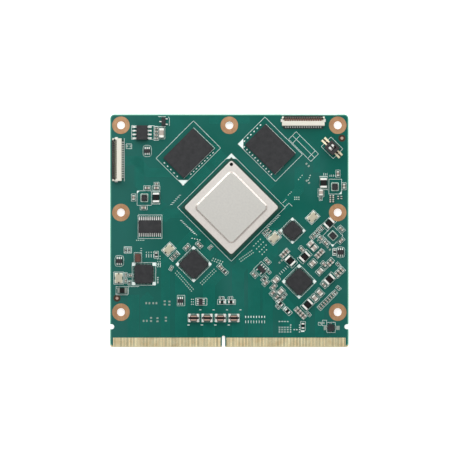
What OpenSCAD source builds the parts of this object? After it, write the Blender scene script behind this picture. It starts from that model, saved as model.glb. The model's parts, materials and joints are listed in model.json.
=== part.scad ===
// System on module: a small computer board with a card edge and its chips, coils, crystals and connectors
// The board stands level, component side up, with the card edge towards -Y and its outline centred on Z

/* [Board] */
// Width of the board along the card edge
board_w = 82; // [82:0.5:90]
// Height of the board, from the card edge to the far edge
board_h = 80; // [80:0.5:88]
// Thickness of the bare board
board_t = 1.2; // [1:0.1:1.6]
// Radius of the two far corners
corner_r = 1.5; // [0.5:0.1:2.5]
// Chamfer of the two corners at the card edge
corner_cut = 0.5; // [0.2:0.1:0.9]

/* [Mounting holes] */
// Bore of each plated mounting hole
hole_d = 2.7; // [2.2:0.1:3.2]
// Diameter of the bare copper ring round a hole
ring_d = 6; // [4.5:0.1:6.4]
// Thickness of the copper, on the faces and in the holes
plating = 0.05; // [0.03:0.01:0.08]
// Distance of the holes from the side edges and from the far edge
hole_inset = 3.75; // [3.4:0.05:4.2]
// Height of the middle pair of holes above the card edge
middle_row = 46.25; // [45:0.25:48]
// Height of the lower pair of holes above the card edge
lower_row = 12; // [11.6:0.1:13]

/* [Card edge] */
// Distance between neighbouring contacts
contact_pitch = 0.5; // [0.44:0.01:0.5]
// Width of one contact
contact_w = 0.38; // [0.3:0.01:0.4]
// Length of one contact
contact_l = 3.05; // [2.5:0.05:3.4]
// Bare strip between the contacts and the card edge
contact_gap = 0.2; // [0.1:0.05:0.5]
// Contacts left of the key on the component side
top_left_contacts = 74; // [60:1:74]
// Contacts right of the key on the component side
top_right_contacts = 82; // [60:1:82]
// Contacts left of the key on the underside
low_left_contacts = 75; // [60:1:75]
// Contacts right of the key on the underside
low_right_contacts = 83; // [60:1:83]
// Distance of the key slot from the left edge
key_x = 39; // [38.8:0.1:39.2]
// Width of the key slot
key_w = 1.1; // [0.9:0.05:1.2]
// Height of the key slot above the card edge
key_h = 3.9; // [3.5:0.1:4.5]
// Height of the two side notches above the card edge
notch_y = 7; // [6.5:0.1:7.5]
// Width of a side notch
notch_w = 1.7; // [1.4:0.1:1.9]
// Depth of a side notch
notch_depth = 1.45; // [1.2:0.05:1.6]

/* [Processor] */
// Side of the square processor substrate
substrate_w = 24.4; // [23.6:0.1:24.8]
// Thickness of the substrate
substrate_t = 0.9; // [0.7:0.1:1.2]
// Width of the substrate left free round the metal lid
lid_margin = 0.7; // [0.5:0.05:1.3]
// Thickness of the lid metal
lid_t = 0.5; // [0.3:0.05:0.8]
// Side of the raised middle of the lid
lid_crown_w = 17.5; // [15.5:0.1:18.5]
// Width of the drawn slope round the raised middle
crown_slope = 0.45; // [0.2:0.05:0.7]
// Rise of the middle of the lid above its rim
lid_rise = 0.45; // [0.3:0.05:0.8]
// Side of the silicon die under the lid
die_w = 9; // [6:0.1:11]
// Distance between neighbouring solder balls
ball_pitch = 1; // [0.95:0.05:1]
// Diameter of a solder ball
ball_d = 0.55; // [0.4:0.05:0.6]
// Height of a soldered ball
ball_h = 0.35; // [0.25:0.05:0.45]

/* [Memory and flash] */
// Length of a memory package
memory_l = 14.5; // [13:0.1:14.8]
// Width of a memory package
memory_w = 10; // [9:0.1:10.4]
// Thickness of a memory package
memory_t = 0.8; // [0.6:0.05:1.1]
// Length of the flash package on the underside
flash_l = 13; // [11.5:0.1:14]
// Width of the flash package on the underside
flash_w = 11.5; // [10:0.1:12]
// Thickness of the flash package
flash_t = 0.95; // [0.8:0.05:1.1]
// Distance between neighbouring balls of a memory or flash package
small_ball_pitch = 0.8; // [0.75:0.05:0.8]
// Diameter of a ball of a memory or flash package
small_ball_d = 0.4; // [0.3:0.05:0.5]
// Height of a soldered ball of a memory or flash package
small_ball_h = 0.3; // [0.2:0.05:0.35]

/* [Packages with leads] */
// Length of the eight-lead body
soic_l = 4.9; // [4.6:0.1:5.2]
// Width of the eight-lead body
soic_w = 3.9; // [3.5:0.1:4.2]
// Height of the eight-lead body
soic_h = 1.5; // [1.2:0.1:1.7]
// Length of the twenty-four-lead body
tssop_l = 7.8; // [7.6:0.1:8.2]
// Width of the twenty-four-lead body
tssop_w = 4.4; // [4:0.1:4.6]
// Height of the twenty-four-lead body
tssop_h = 1; // [0.8:0.1:1.2]
// Thickness of the lead metal
lead_t = 0.15; // [0.1:0.01:0.2]
// Gap under a leaded body
lead_standoff = 0.1; // [0.05:0.01:0.15]

/* [Flat packages] */
// Side of the flat package at the middle of the board
centre_flat_w = 7.3; // [6.8:0.1:7.4]
// Side of the flat package at the left
left_flat_w = 6.1; // [5.8:0.1:6.3]
// Side of the flat package at the lower right
lower_flat_w = 6.8; // [6.5:0.1:7]
// Side of the flat package at the right
right_flat_w = 5; // [4.7:0.1:5.1]
// Thickness of a flat package
flat_t = 0.8; // [0.6:0.05:1]
// Distance between neighbouring terminals of a flat package
terminal_pitch = 0.5; // [0.45:0.01:0.55]
// Reach of a terminal and its solder past the body
terminal_reach = 0.42; // [0.3:0.01:0.45]

/* [Coils and crystals] */
// Length of a power inductor over its terminals
coil_l = 3.2; // [3:0.05:3.3]
// Width of a power inductor
coil_w = 2.1; // [1.8:0.05:2.2]
// Height of a power inductor
coil_h = 1.2; // [1:0.05:1.6]
// Width of the two-winding choke
choke_w = 3.3; // [3.1:0.05:3.5]
// Depth of the two-winding choke
choke_d = 2.7; // [2.5:0.05:2.9]
// Height of the two-winding choke
choke_h = 1.4; // [1.1:0.05:1.8]
// Length of a crystal
crystal_l = 3.2; // [3:0.05:3.3]
// Width of a crystal
crystal_w = 2.4; // [2.2:0.05:2.5]
// Height of a crystal
crystal_h = 0.8; // [0.6:0.05:1]

/* [Chip parts] */
// Length of a small chip part
small_l = 1; // [0.9:0.01:1.05]
// Width of a small chip part
small_w = 0.5; // [0.4:0.01:0.55]
// Length of a medium chip part
medium_l = 1.6; // [1.5:0.01:1.65]
// Width of a medium chip part
medium_w = 0.8; // [0.7:0.01:0.85]
// Length of a large chip part
large_l = 2; // [1.9:0.01:2.1]
// Width of a large chip part
large_w = 1.35; // [1.2:0.01:1.4]

/* [Cable connectors] */
// Number of contacts in a cable connector
ways = 16; // [12:1:16]
// Distance between neighbouring connector contacts
way_pitch = 0.8; // [0.75:0.01:0.82]
// Thickness of a stamped connector contact
way_t = 0.35; // [0.3:0.01:0.4]
// Depth of a connector housing
socket_d = 3.25; // [3.2:0.05:3.4]
// Depth of the closed rear block of a housing
socket_block_d = 1.75; // [1.6:0.05:1.75]
// Height of a connector housing
socket_h = 1.7; // [1.65:0.05:2]
// Thickness of a housing end wall
socket_wall = 0.6; // [0.55:0.05:0.9]
// Radius of the shaft that the locking flap turns on
flap_shaft_r = 0.22; // [0.18:0.01:0.23]
// Running clearance round the flap shaft and beside each contact
flap_play = 0.08; // [0.05:0.01:0.08]
// Reach of the locking flap from its shaft to its front edge
flap_reach = 0.95; // [0.85:0.05:1.1]

/* [Selector switch] */
// Length of the switch body along its slides
switch_l = 4; // [3.8:0.1:5.4]
// Distance between the two slides
switch_pitch = 1.27; // [1.2:0.01:1.35]
// Width of the switch body
switch_w = 3.6; // [3.4:0.1:4.2]
// Height of the switch
switch_h = 2.4; // [2.2:0.1:2.8]
// Travel of a slide
slide_travel = 0.8; // [0.6:0.05:0.9]
// Clearance round a slide
slide_play = 0.08; // [0.05:0.01:0.1]

/* [Hidden] */

// Fineness of the round shapes
$fn = 48;
// Overlap of a cut past the face that it opens
eps = 0.02;

// Levels, from the plane that the underside parts rest on
under_h = flash_t + small_ball_h;
deck_z = under_h + board_t;

// Board on which the places of the parts are given from its centre, and how far the edges move out from it
layout_board = [82, 80];
spread = ([board_w, board_h] - layout_board) / 2;
// Parts past these lines keep their distance from the side edges and from the far edge
side_zone = 22.5;
far_zone = 30;

// Place of a part on the board in use: the rest keep their distance from the card edge
function seat(p) = [
    p.x + (p.x > side_zone ? spread.x : p.x < -side_zone ? -spread.x : 0),
    p.y + (p.y > far_zone ? spread.y : -spread.y)
];
// Row of equal places, as x, y and turn
function row(from, step, count, turn) =
    [for (i = [0:count - 1]) [from.x + i * step.x, from.y + i * step.y, turn]];

// Puts the children on the component side at a place
module on_deck(p) {
    translate([seat(p).x, seat(p).y, deck_z])
        rotate(len(p) > 2 ? p[2] : 0)
            children();
}

// Puts the children under the board, top down
module under_deck(p) {
    translate([seat(p).x, seat(p).y, under_h])
        rotate(len(p) > 2 ? p[2] : 0)
            mirror([0, 0, 1])
                children();
}

// Block centred in plan that stands on its base
module block(size) {
    translate([-size.x / 2, -size.y / 2, 0])
        cube(size);
}

// Rounded square in plan, with true round corners
module soft_square(side, r) {
    square([side, side - 2 * r], center = true);
    square([side - 2 * r, side], center = true);
    for (x = [-1, 1], y = [-1, 1])
        translate([x * (side / 2 - r), y * (side / 2 - r)])
            circle(r);
}

// Places of the parts
quarter = 45;
processor_place = [0.7, 8, quarter];
left_memory_place = [-14.05, 26.6, quarter];
right_memory_place = [14.05, 28, -quarter];
flash_place = [-9, -9, 0];
eight_lead_place = [-30, 33.7, 0];
wide_chip_place = [-27.3, 1.4, 0];
centre_flat_place = [-12.2, -11.5, quarter];
left_flat_place = [-29.4, -14.9, 0];
lower_flat_place = [24, -17.5, quarter];
right_flat_place = [21.7, 0, quarter];
corner_flat_place = [34.9, -33.3, 0];
side_socket_place = [-36.95, 24.4, 90];
top_socket_place = [25.4, 35.95, 0];
switch_place = [35.3, 28.5, -quarter];
bead_place = [-36.8, -20.5, 0];
converter_places = [[-29.2, 11.3, 0], [36.3, 15.1, 0], [35.6, -1.7, quarter]];
coil_places = [[-25.2, 11.4, 90], [32.4, 16.4, 90], [34.3, 2.6, quarter], [25.9, -8.9, quarter],
    [20.9, -10.3, -quarter], [34.4, -16.7, quarter], [26.9, -25.4, quarter]];
choke_places = row([-12.25, -30], [4.6, 0], 4, 0);
crystal_places = [[-20.8, -6.4, quarter], [28.6, 4.6, quarter], [15.4, -2.5, quarter], [-38, -16.3, 90]];
fiducial_places = [[38.7, 31.8], [-38.6, -23.2]];

// Chip capacitors, as x, y and turn
small_cap_places = concat(
    row([-25.1, 31.7], [0, 1.15], 4, 0),
    [[-25, 16.1, 0], [-35.6, -15.2, 90], [-35.6, -17.2, 90], [-33.9, -15.4, 0]],
    row([-19.6, -9.5], [0.8, 0.8], 3, -quarter),
    [[-6.5, -5.7, quarter], [-20, -12.9, 60], [13, -1.6, quarter], [13.2, 0.3, quarter]],
    [[14, -0.4, quarter], [17.4, -0.6, -quarter], [28.4, -2.4, -quarter], [29.2, -1.6, -quarter]],
    row([31.2, -26.4], [0.74, 0.74], 7, -quarter),
    [[34.7, 11.7, 90], [34.7, 10.3, 90], [35.7, 11.7, 90], [35.7, 10.3, 90]],
    [[30.9, 0.3, -quarter], [31.8, 1.1, -quarter]]);
medium_cap_places = concat(
    [[-28.2, 14.7, 0], [-25.1, 14.7, 0], [-32.9, 11.4, 90], [-29.4, 7.9, 0]],
    [[-14.6, -5.7, quarter], [-10.4, -4.9, -quarter], [-3, -12.6, -quarter], [13.1, -10.5, -quarter]],
    [[8.5, -15.1, -quarter], [12.5, -17.9, quarter], [15.2, -19.3, quarter], [15, -21.3, quarter]],
    row([23.2, -27.1], [0.82, -0.82], 4, quarter),
    row([30.2, -8.7], [0.8, 0.8], 3, -quarter),
    row([18.2, -8.6], [0.8, 0.8], 3, -quarter),
    row([37, -15.1], [0.85, 0.85], 3, -quarter),
    [[31.4, -2.6, -quarter], [33.2, -4.2, -quarter], [38.4, -3.4, quarter], [38.5, 0.6, -quarter]],
    [[34.2, -11.5, -quarter], [35.1, -10.6, -quarter], [32.6, -11.6, -quarter], [32.5, -18.6, -quarter]],
    [[25, -6.4, -quarter], [37.3, 19.6, 90], [39.4, 15.3, 90]],
    [[16.3, -22.8, quarter], [17.9, -23.3, quarter]]);
large_cap_places = [[28.6, -11.2, quarter], [31.2, -13.9, quarter], [29.4, -23.1, -quarter],
    [31.1, -21.3, -quarter], [16, -16.9, quarter], [17.6, -20.9, quarter], [27.9, -4.4, quarter],
    [29.1, -5.9, quarter], [31.5, 13.1, 90]];
// Two capacitors of their own size, as x, y, turn, length and width
tall_cap_places = [[-23.3, 33.6, 90, 3.2, 1.6], [-31.4, -9.3, 90, 2.7, 1.9]];
small_res_places = [[-35.6, -6.7, 90], [-34.4, -6.7, 90], [-34.3, -17.9, 90], [12.2, -0.7, quarter],
    [13.5, -14.1, -quarter], [36.4, -21.2, -quarter], [37.5, -19.7, -quarter], [30.1, -0.7, -quarter],
    [37.4, -11.6, -quarter], [16.7, -26.1, -quarter], [27.3, -28.7, -quarter], [19, -22.1, quarter],
    [31.4, 11.2, 90], [37.4, 11.4, 90], [38.5, 11.4, 90], [-2.6, -23.2, 0], [0.4, -23.2, 0]];
medium_res_places = [[-25.1, -8.3, 90], [12.1, -16.5, quarter], [-1.6, -14, -quarter], [36.2, -7.3, 90]];
diode_places = [[-2.5, -24.5, 0], [0.6, -24.5, 0], [17.5, -25.1, -quarter], [20, -27.6, -quarter],
    [25.3, -32.7, 90]];

// Underside capacitors, in a grid under the processor
under_cap_count = 5;
under_cap_step = 2.6;

// Small leaded chips, as x, y, turn, body length, body width, leads on one side and leads on the other
small_chips = [[-22.6, 37.5, 90, 2.9, 1.4, 2, 1], [-28.2, 27.4, 0, 2.1, 1.3, 3, 3],
    [-37.8, -10.4, 0, 2.2, 1.4, 3, 3], [-16.8, -24.1, 0, 2.1, 1.3, 3, 3], [-9.85, -24.4, 90, 2.1, 1.3, 3, 3],
    [11, -13.2, -quarter, 2.9, 1.6, 2, 3], [38.2, -7.4, 0, 2.2, 1.6, 3, 3]];
small_chip_h = 0.95;
small_lead_w = 0.32;
small_lead_reach = 0.62;

// Sizes of the plated end of a chip part, and of its step above the body
cap_end = 0.25;
end_step = 0.03;

// Outline of the bare board, with its key slot and side notches
module board_outline() {
    difference() {
        union() {
            translate([-board_w / 2 + corner_r, -board_h / 2 + corner_cut])
                square([board_w - 2 * corner_r, board_h - corner_cut]);
            translate([-board_w / 2, -board_h / 2 + corner_cut])
                square([board_w, board_h - corner_r - corner_cut]);
            for (x = [-1, 1])
                translate([x * (board_w / 2 - corner_r), board_h / 2 - corner_r])
                    circle(corner_r);
            polygon([[-board_w / 2, -board_h / 2 + corner_cut], [-board_w / 2 + corner_cut, -board_h / 2],
                [board_w / 2 - corner_cut, -board_h / 2], [board_w / 2, -board_h / 2 + corner_cut]]);
        }
        key_slot_outline();
        for (x = [-1, 1])
            scale([x, 1])
                notch_outline();
    }
}

module key_slot_outline() {
    key_r = key_w / 2;
    translate([-board_w / 2 + key_x, -board_h / 2]) {
        translate([-key_r, -1])
            square([key_w, key_h - key_r + 1]);
        translate([0, key_h - key_r])
            circle(key_r);
    }
}

module notch_outline() {
    notch_r = notch_w / 2;
    translate([board_w / 2, -board_h / 2 + notch_y]) {
        translate([notch_r - notch_depth, 0])
            circle(notch_r);
        translate([notch_r - notch_depth, -notch_r])
            square([notch_depth + 1, notch_w]);
    }
}

// Mounting holes: a row of three at the far edge and two pairs below it
side_hole_x = board_w / 2 - hole_inset;
hole_centres = [
    for (x = [-1, 0, 1]) [x * side_hole_x, board_h / 2 - hole_inset],
    for (x = [-1, 1]) [x * side_hole_x, middle_row - board_h / 2],
    for (x = [-1, 1]) [x * side_hole_x, lower_row - board_h / 2]
];

module board() {
    color("seagreen")
        difference() {
            translate([0, 0, under_h])
                linear_extrude(board_t)
                    board_outline();
            for (p = hole_centres)
                translate([p.x, p.y, under_h - 1])
                    cylinder(h = board_t + 2, d = hole_d + 2 * plating);
        }
}

// Plating that lines each hole and turns out into a ring on both faces
module hole_sleeves() {
    color("peru")
        for (p = hole_centres)
            translate([p.x, p.y, under_h - plating])
                difference() {
                    union() {
                        cylinder(h = plating, d = ring_d);
                        cylinder(h = board_t + 2 * plating, d = hole_d + 2 * plating);
                        translate([0, 0, board_t + plating])
                            cylinder(h = plating, d = ring_d);
                    }
                    translate([0, 0, -1])
                        cylinder(h = board_t + 2, d = hole_d);
                }
}

// Row of edge contacts on both sides of the key, with a gap of a few lost places at the key
module contact_row(left_count, right_count, lost, z) {
    first = (lost + 1) / 2 * contact_pitch;
    translate([-board_w / 2 + key_x, -board_h / 2 + contact_gap, z]) {
        for (i = [0:left_count - 1])
            translate([-first - i * contact_pitch - contact_w / 2, 0, 0])
                cube([contact_w, contact_l, plating]);
        for (i = [0:right_count - 1])
            translate([first + i * contact_pitch - contact_w / 2, 0, 0])
                cube([contact_w, contact_l, plating]);
    }
}

module top_contacts() {
    color("gold")
        contact_row(top_left_contacts, top_right_contacts, 4, deck_z);
}

module bottom_contacts() {
    color("gold")
        contact_row(low_left_contacts, low_right_contacts, 3, under_h - plating);
}

module fiducial_marks() {
    color("peru")
        for (p = fiducial_places)
            on_deck(p)
                cylinder(h = plating, d = 1);
}

module processor_substrate() {
    color("darkgreen")
        on_deck(processor_place)
            translate([0, 0, ball_h])
                block([substrate_w, substrate_w, substrate_t]);
}

// Side of the metal lid, the width of its cavity and the height of the die that fills it
lid_w = substrate_w - 2 * lid_margin;
cavity_w = lid_crown_w - 2 * lid_t;
die_h = lid_rise;
lid_base_z = ball_h + substrate_t;

module processor_die() {
    color("slategray")
        on_deck(processor_place)
            translate([0, 0, lid_base_z])
                block([die_w, die_w, die_h]);
}

// Stamped lid: a flat rim glued to the substrate, a drawn slope and a raised crown over the die
module processor_lid() {
    rim_r = 0.8;
    crown_r = 1.3;
    color("silver")
        on_deck(processor_place)
            translate([0, 0, lid_base_z])
                difference() {
                    union() {
                        linear_extrude(lid_t)
                            soft_square(lid_w, rim_r);
                        hull() {
                            linear_extrude(lid_t)
                                soft_square(lid_crown_w + 2 * crown_slope, crown_r + crown_slope);
                            linear_extrude(lid_t + lid_rise)
                                soft_square(lid_crown_w, crown_r);
                        }
                    }
                    translate([0, 0, -1])
                        linear_extrude(lid_rise + 1)
                            soft_square(cavity_w, crown_r - lid_t);
                }
}

// Grid of solder balls, as barrels, with only the outer rings and a block in the middle
module ball_grid(across, deep, rings, core, pitch, d, h) {
    for (i = [0:across - 1], j = [0:deep - 1]) {
        edge = min(i, j, across - 1 - i, deep - 1 - j);
        middle = max(abs(i - (across - 1) / 2), abs(j - (deep - 1) / 2));
        if (edge < rings || middle < core / 2)
            translate([(i - (across - 1) / 2) * pitch, (j - (deep - 1) / 2) * pitch, 0])
                cylinder(h = h, d = d, $fn = 24);
    }
}

module processor_balls() {
    across = floor((substrate_w - ball_d) / ball_pitch);
    color("lightgray")
        on_deck(processor_place)
            ball_grid(across, across, 3, 6, ball_pitch, ball_d, ball_h);
}

// Moulded package on balls, with a dimple at its first corner
module ball_package(l, w, t, lift) {
    dimple_d = 0.8;
    dimple_inset = 1.2;
    dimple_depth = 0.06;
    translate([0, 0, lift])
        difference() {
            block([l, w, t]);
            translate([dimple_inset - l / 2, dimple_inset - w / 2, t - dimple_depth])
                cylinder(h = 1, d = dimple_d);
        }
}

module left_memory() {
    color("dimgray")
        on_deck(left_memory_place)
            ball_package(memory_l, memory_w, memory_t, small_ball_h);
}

module right_memory() {
    color("dimgray")
        on_deck(right_memory_place)
            ball_package(memory_l, memory_w, memory_t, small_ball_h);
}

module memory_balls() {
    across = floor((memory_l - small_ball_d) / small_ball_pitch);
    deep = floor((memory_w - small_ball_d) / small_ball_pitch);
    color("lightgray")
        for (p = [left_memory_place, right_memory_place])
            on_deck(p)
                ball_grid(across, deep, 2, 0, small_ball_pitch, small_ball_d, small_ball_h);
}

module flash_package() {
    color("dimgray")
        under_deck(flash_place)
            ball_package(flash_l, flash_w, flash_t, small_ball_h);
}

module flash_balls() {
    across = floor((flash_l - small_ball_d) / small_ball_pitch);
    deep = floor((flash_w - small_ball_d) / small_ball_pitch);
    color("lightgray")
        under_deck(flash_place)
            ball_grid(across, deep, 2, 4, small_ball_pitch, small_ball_d, small_ball_h);
}

// Moulded body with drafted long sides, along X, standing off the board
module moulded_body(l, w, h, lift) {
    draft = h * 0.12;
    waist = h * 0.5;
    translate([-l / 2, 0, lift])
        rotate([90, 0, 90])
            linear_extrude(l)
                polygon([[-w / 2 + draft, 0], [w / 2 - draft, 0], [w / 2, waist - lead_t / 2],
                    [w / 2, waist + lead_t / 2], [w / 2 - draft, h], [-w / 2 + draft, h],
                    [-w / 2, waist + lead_t / 2], [-w / 2, waist - lead_t / 2]]);
}

// Bent lead that leaves a body at its waist towards -Y and lands on the board
module gull_lead(reach, rise, w) {
    foot = reach * 0.5;
    slope = reach * 0.18;
    bend = lead_t * 0.5;
    translate([-w / 2, 0, 0])
        rotate([90, 0, 90])
            linear_extrude(w)
                polygon([[0, rise + lead_t / 2], [-reach + foot + slope + bend, rise + lead_t / 2],
                    [-reach + foot + slope - bend, rise + lead_t / 2 - bend],
                    [-reach + foot, lead_t], [-reach, lead_t], [-reach, 0],
                    [-reach + foot + bend, 0], [-reach + foot + lead_t, bend],
                    [-reach + foot + slope + lead_t * 0.5, rise - lead_t / 2],
                    [0, rise - lead_t / 2]]);
}

// Row of leads along one long side of a body
module lead_row(count, pitch, body_w, reach, rise, w) {
    for (i = [0:count - 1])
        translate([(i - (count - 1) / 2) * pitch, -body_w / 2, 0])
            gull_lead(reach, rise, w);
}

soic_pitch = 1.27;
soic_lead_w = 0.42;
soic_reach = 1.25;
tssop_pitch = 0.65;
tssop_lead_w = 0.26;
tssop_reach = 1;

module eight_lead_body() {
    dot_d = 0.7;
    color("dimgray")
        on_deck(eight_lead_place)
            rotate(90)
                difference() {
                    moulded_body(soic_l, soic_w, soic_h, lead_standoff);
                    translate([soic_l / 2 - 1, soic_w / 2 - 1, lead_standoff + soic_h - 0.06])
                        cylinder(h = 1, d = dot_d);
                }
}

module eight_lead_leads() {
    color("silver")
        on_deck(eight_lead_place)
            for (side = [90, 270])
                rotate(side)
                    lead_row(4, soic_pitch, soic_w, soic_reach, lead_standoff + soic_h / 2, soic_lead_w);
}

module wide_chip_body() {
    dot_d = 0.7;
    color("dimgray")
        on_deck(wide_chip_place)
            difference() {
                moulded_body(tssop_l, tssop_w, tssop_h, lead_standoff);
                translate([0.9 - tssop_l / 2, 0.9 - tssop_w / 2, lead_standoff + tssop_h - 0.06])
                    cylinder(h = 1, d = dot_d);
            }
}

module wide_chip_leads() {
    color("silver")
        on_deck(wide_chip_place)
            for (side = [0, 180])
                rotate(side)
                    lead_row(12, tssop_pitch, tssop_w, tssop_reach, lead_standoff + tssop_h / 2,
                        tssop_lead_w);
}

module small_chip_bodies() {
    color("dimgray")
        for (c = small_chips)
            on_deck([c.x, c.y, c[2]])
                moulded_body(c[3], c[4], small_chip_h, lead_standoff);
}

// Two leads on one side stand where the outer two of three would
module small_chip_leads() {
    rise = lead_standoff + small_chip_h / 2;
    color("silver")
        for (c = small_chips)
            on_deck([c.x, c.y, c[2]]) {
                pitch = c[3] * 0.32;
                lead_row(c[5], c[5] == 2 ? 2 * pitch : pitch, c[4], small_lead_reach, rise, small_lead_w);
                rotate(180)
                    lead_row(c[6], c[6] == 2 ? 2 * pitch : pitch, c[4], small_lead_reach, rise, small_lead_w);
            }
}

// Flat package without leads: its body stands on its terminals and on the slug in its middle
terminal_t = 0.12;
terminal_w = 0.26;
terminal_under = 0.35;
slug_share = 0.6;

module flat_body(w) {
    dot_d = 0.5;
    translate([0, 0, terminal_t])
        difference() {
            block([w, w, flat_t]);
            translate([0.8 - w / 2, 0.8 - w / 2, flat_t - 0.05])
                cylinder(h = 1, d = dot_d);
        }
}

module flat_terminals(w) {
    count = floor((w - 1) / terminal_pitch);
    for (side = [0:90:270])
        rotate(side)
            for (i = [0:count - 1])
                translate([(i - (count - 1) / 2) * terminal_pitch - terminal_w / 2,
                    -w / 2 - terminal_reach, 0])
                    cube([terminal_w, terminal_reach + terminal_under, terminal_t]);
}

corner_flat_w = 2.2;
flat_packages = [
    [centre_flat_place, centre_flat_w], [left_flat_place, left_flat_w], [lower_flat_place, lower_flat_w],
    [right_flat_place, right_flat_w], [corner_flat_place, corner_flat_w]
];

module centre_flat_package() {
    color("dimgray")
        on_deck(centre_flat_place)
            flat_body(centre_flat_w);
}

module left_flat_package() {
    color("dimgray")
        on_deck(left_flat_place)
            flat_body(left_flat_w);
}

module lower_flat_package() {
    color("dimgray")
        on_deck(lower_flat_place)
            flat_body(lower_flat_w);
}

module right_flat_package() {
    color("dimgray")
        on_deck(right_flat_place)
            flat_body(right_flat_w);
}

module corner_flat_package() {
    color("dimgray")
        on_deck(corner_flat_place)
            flat_body(corner_flat_w);
}

module flat_package_terminals() {
    color("silver")
        for (p = flat_packages)
            on_deck(p[0])
                flat_terminals(p[1]);
}

module flat_package_slugs() {
    color("silver")
        for (p = flat_packages)
            on_deck(p[0])
                block([p[1] * slug_share, p[1] * slug_share, terminal_t]);
}

// Small voltage converter: a bare dark body on broad lands all round
converter_l = 2;
converter_w = 1.7;
converter_h = 0.75;
land_reach = 0.25;
land_w = 0.4;
land_pitch = 0.62;

module converter_bodies() {
    color("dimgray")
        for (p = converter_places)
            on_deck(p)
                translate([0, 0, terminal_t])
                    block([converter_w, converter_l, converter_h]);
}

module converter_terminals() {
    inner = 0.3;
    color("silver")
        for (p = converter_places)
            on_deck(p)
                for (side = [0:90:270])
                    rotate(side) {
                        span = side % 180 == 0 ? converter_l : converter_w;
                        count = side % 180 == 0 ? 2 : 3;
                        for (i = [0:count - 1])
                            translate([(i - (count - 1) / 2) * land_pitch - land_w / 2,
                                -span / 2 - land_reach, 0])
                                cube([land_w, land_reach + inner, terminal_t]);
                    }
}

// Power inductor: a pressed core with a metal strap folded round each end
strap_t = 0.1;
strap_l = 0.6;

module inductor_cores() {
    edge_cut = 0.12;
    color("black")
        for (p = coil_places)
            on_deck(p)
                translate([0, 0, strap_t])
                    difference() {
                        block([coil_l - 2 * strap_t, coil_w, coil_h - 2 * strap_t]);
                        for (y = [-1, 1])
                            translate([0, y * coil_w / 2, coil_h - 2 * strap_t])
                                rotate([45, 0, 0])
                                    cube([coil_l, edge_cut, edge_cut], center = true);
                    }
}

module inductor_terminals() {
    color("silver")
        for (p = coil_places)
            on_deck(p)
                for (side = [0, 180])
                    rotate(side)
                        translate([coil_l / 2 - strap_l, 0, 0])
                            difference() {
                                translate([0, -coil_w / 2, 0])
                                    cube([strap_l, coil_w, coil_h]);
                                translate([-1, -coil_w, strap_t])
                                    cube([strap_l + 1 - strap_t, 2 * coil_w, coil_h - 2 * strap_t]);
                            }
}

// Two-winding choke: a wound ferrite bar between two flanges, with plated ears and a dark cap
flange_l = 0.55;
flange_h = choke_h * 0.65;
ear_l = 1;
cap_lap = 0.15;
wire_t = 0.16;
wire_gap = 0.05;
bar_d = choke_d * 0.5;
bar_z = wire_t + 2 * wire_gap;
bar_h = flange_h - 2 * bar_z;

module choke_cores() {
    color("dimgray")
        for (p = choke_places)
            on_deck(p)
                translate([0, 0, terminal_t]) {
                    translate([0, 0, bar_z])
                        block([choke_w - 2 * flange_l, bar_d, bar_h]);
                    for (x = [-1, 1])
                        translate([x * (choke_w - flange_l) / 2, 0, 0])
                            block([flange_l, choke_d - 2 * ear_l, flange_h]);
                    translate([0, 0, flange_h])
                        block([choke_w - 2 * (flange_l - cap_lap), choke_d - ear_l,
                            choke_h - flange_h - terminal_t]);
                }
}

// Each turn is a flat ring round the bar
module choke_windings() {
    turns = 5;
    reach = choke_w / 2 - flange_l - wire_t / 2 - wire_gap;
    ring_in = [bar_d + 2 * wire_gap, bar_h + 2 * wire_gap];
    ring_out = [ring_in.x + 2 * wire_t, ring_in.y + 2 * wire_t];
    color("sienna")
        for (p = choke_places)
            on_deck(p)
                for (i = [0:turns - 1])
                    translate([-reach + i * 2 * reach / (turns - 1), 0, terminal_t + bar_z + bar_h / 2])
                        plate(wire_t)
                            difference() {
                                square(ring_out, center = true);
                                square(ring_in, center = true);
                            }
}

module choke_terminals() {
    ear_proud = 0.1;
    color("silver")
        for (p = choke_places)
            on_deck(p)
                for (x = [-1, 1], y = [-1, 1])
                    translate([x * (choke_w - flange_l + ear_proud) / 2, y * (choke_d - ear_l) / 2, 0])
                        block([flange_l + ear_proud, ear_l, terminal_t + flange_h]);
}

// Crystal: a ceramic tray with plated corners and a metal lid
tray_h = crystal_h * 0.65;
lid_inset = 0.3;

module crystal_bases() {
    corner_cove = 0.2;
    color("tan")
        for (p = crystal_places)
            on_deck(p)
                difference() {
                    block([crystal_l, crystal_w, tray_h]);
                    for (x = [-1, 1], y = [-1, 1])
                        translate([x * crystal_l / 2, y * crystal_w / 2, -1])
                            cylinder(h = crystal_h + 2, r = corner_cove, $fn = 24);
                }
}

module crystal_lids() {
    color("wheat")
        for (p = crystal_places)
            on_deck(p)
                translate([0, 0, tray_h])
                    block([crystal_l - 2 * lid_inset, crystal_w - 2 * lid_inset, crystal_h - tray_h]);
}

// Chip part: a body between two plated ends that stand a little proud of it
module chip(l, w, h) {
    end = max(cap_end, l * 0.2);
    translate([0, 0, end_step])
        block([l - end, w - 2 * end_step, h - 2 * end_step]);
    for (side = [-1, 1])
        translate([side * (l - end) / 2, 0, 0])
            block([end, w, h]);
}

module small_capacitors() {
    color("tan")
        for (p = small_cap_places)
            on_deck(p)
                chip(small_l, small_w, small_w);
}

module medium_capacitors() {
    color("tan")
        for (p = medium_cap_places)
            on_deck(p)
                chip(medium_l, medium_w, medium_w);
}

module large_capacitors() {
    color("tan") {
        for (p = large_cap_places)
            on_deck(p)
                chip(large_l, large_w, large_w * 0.8);
        for (p = tall_cap_places)
            on_deck([p.x, p.y, p[2]])
                chip(p[3], p[4], p[4] * 0.8);
    }
}

res_h_share = 0.6;

module small_resistors() {
    color("black")
        for (p = small_res_places)
            on_deck(p)
                chip(small_l, small_w, small_w * res_h_share);
}

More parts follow.
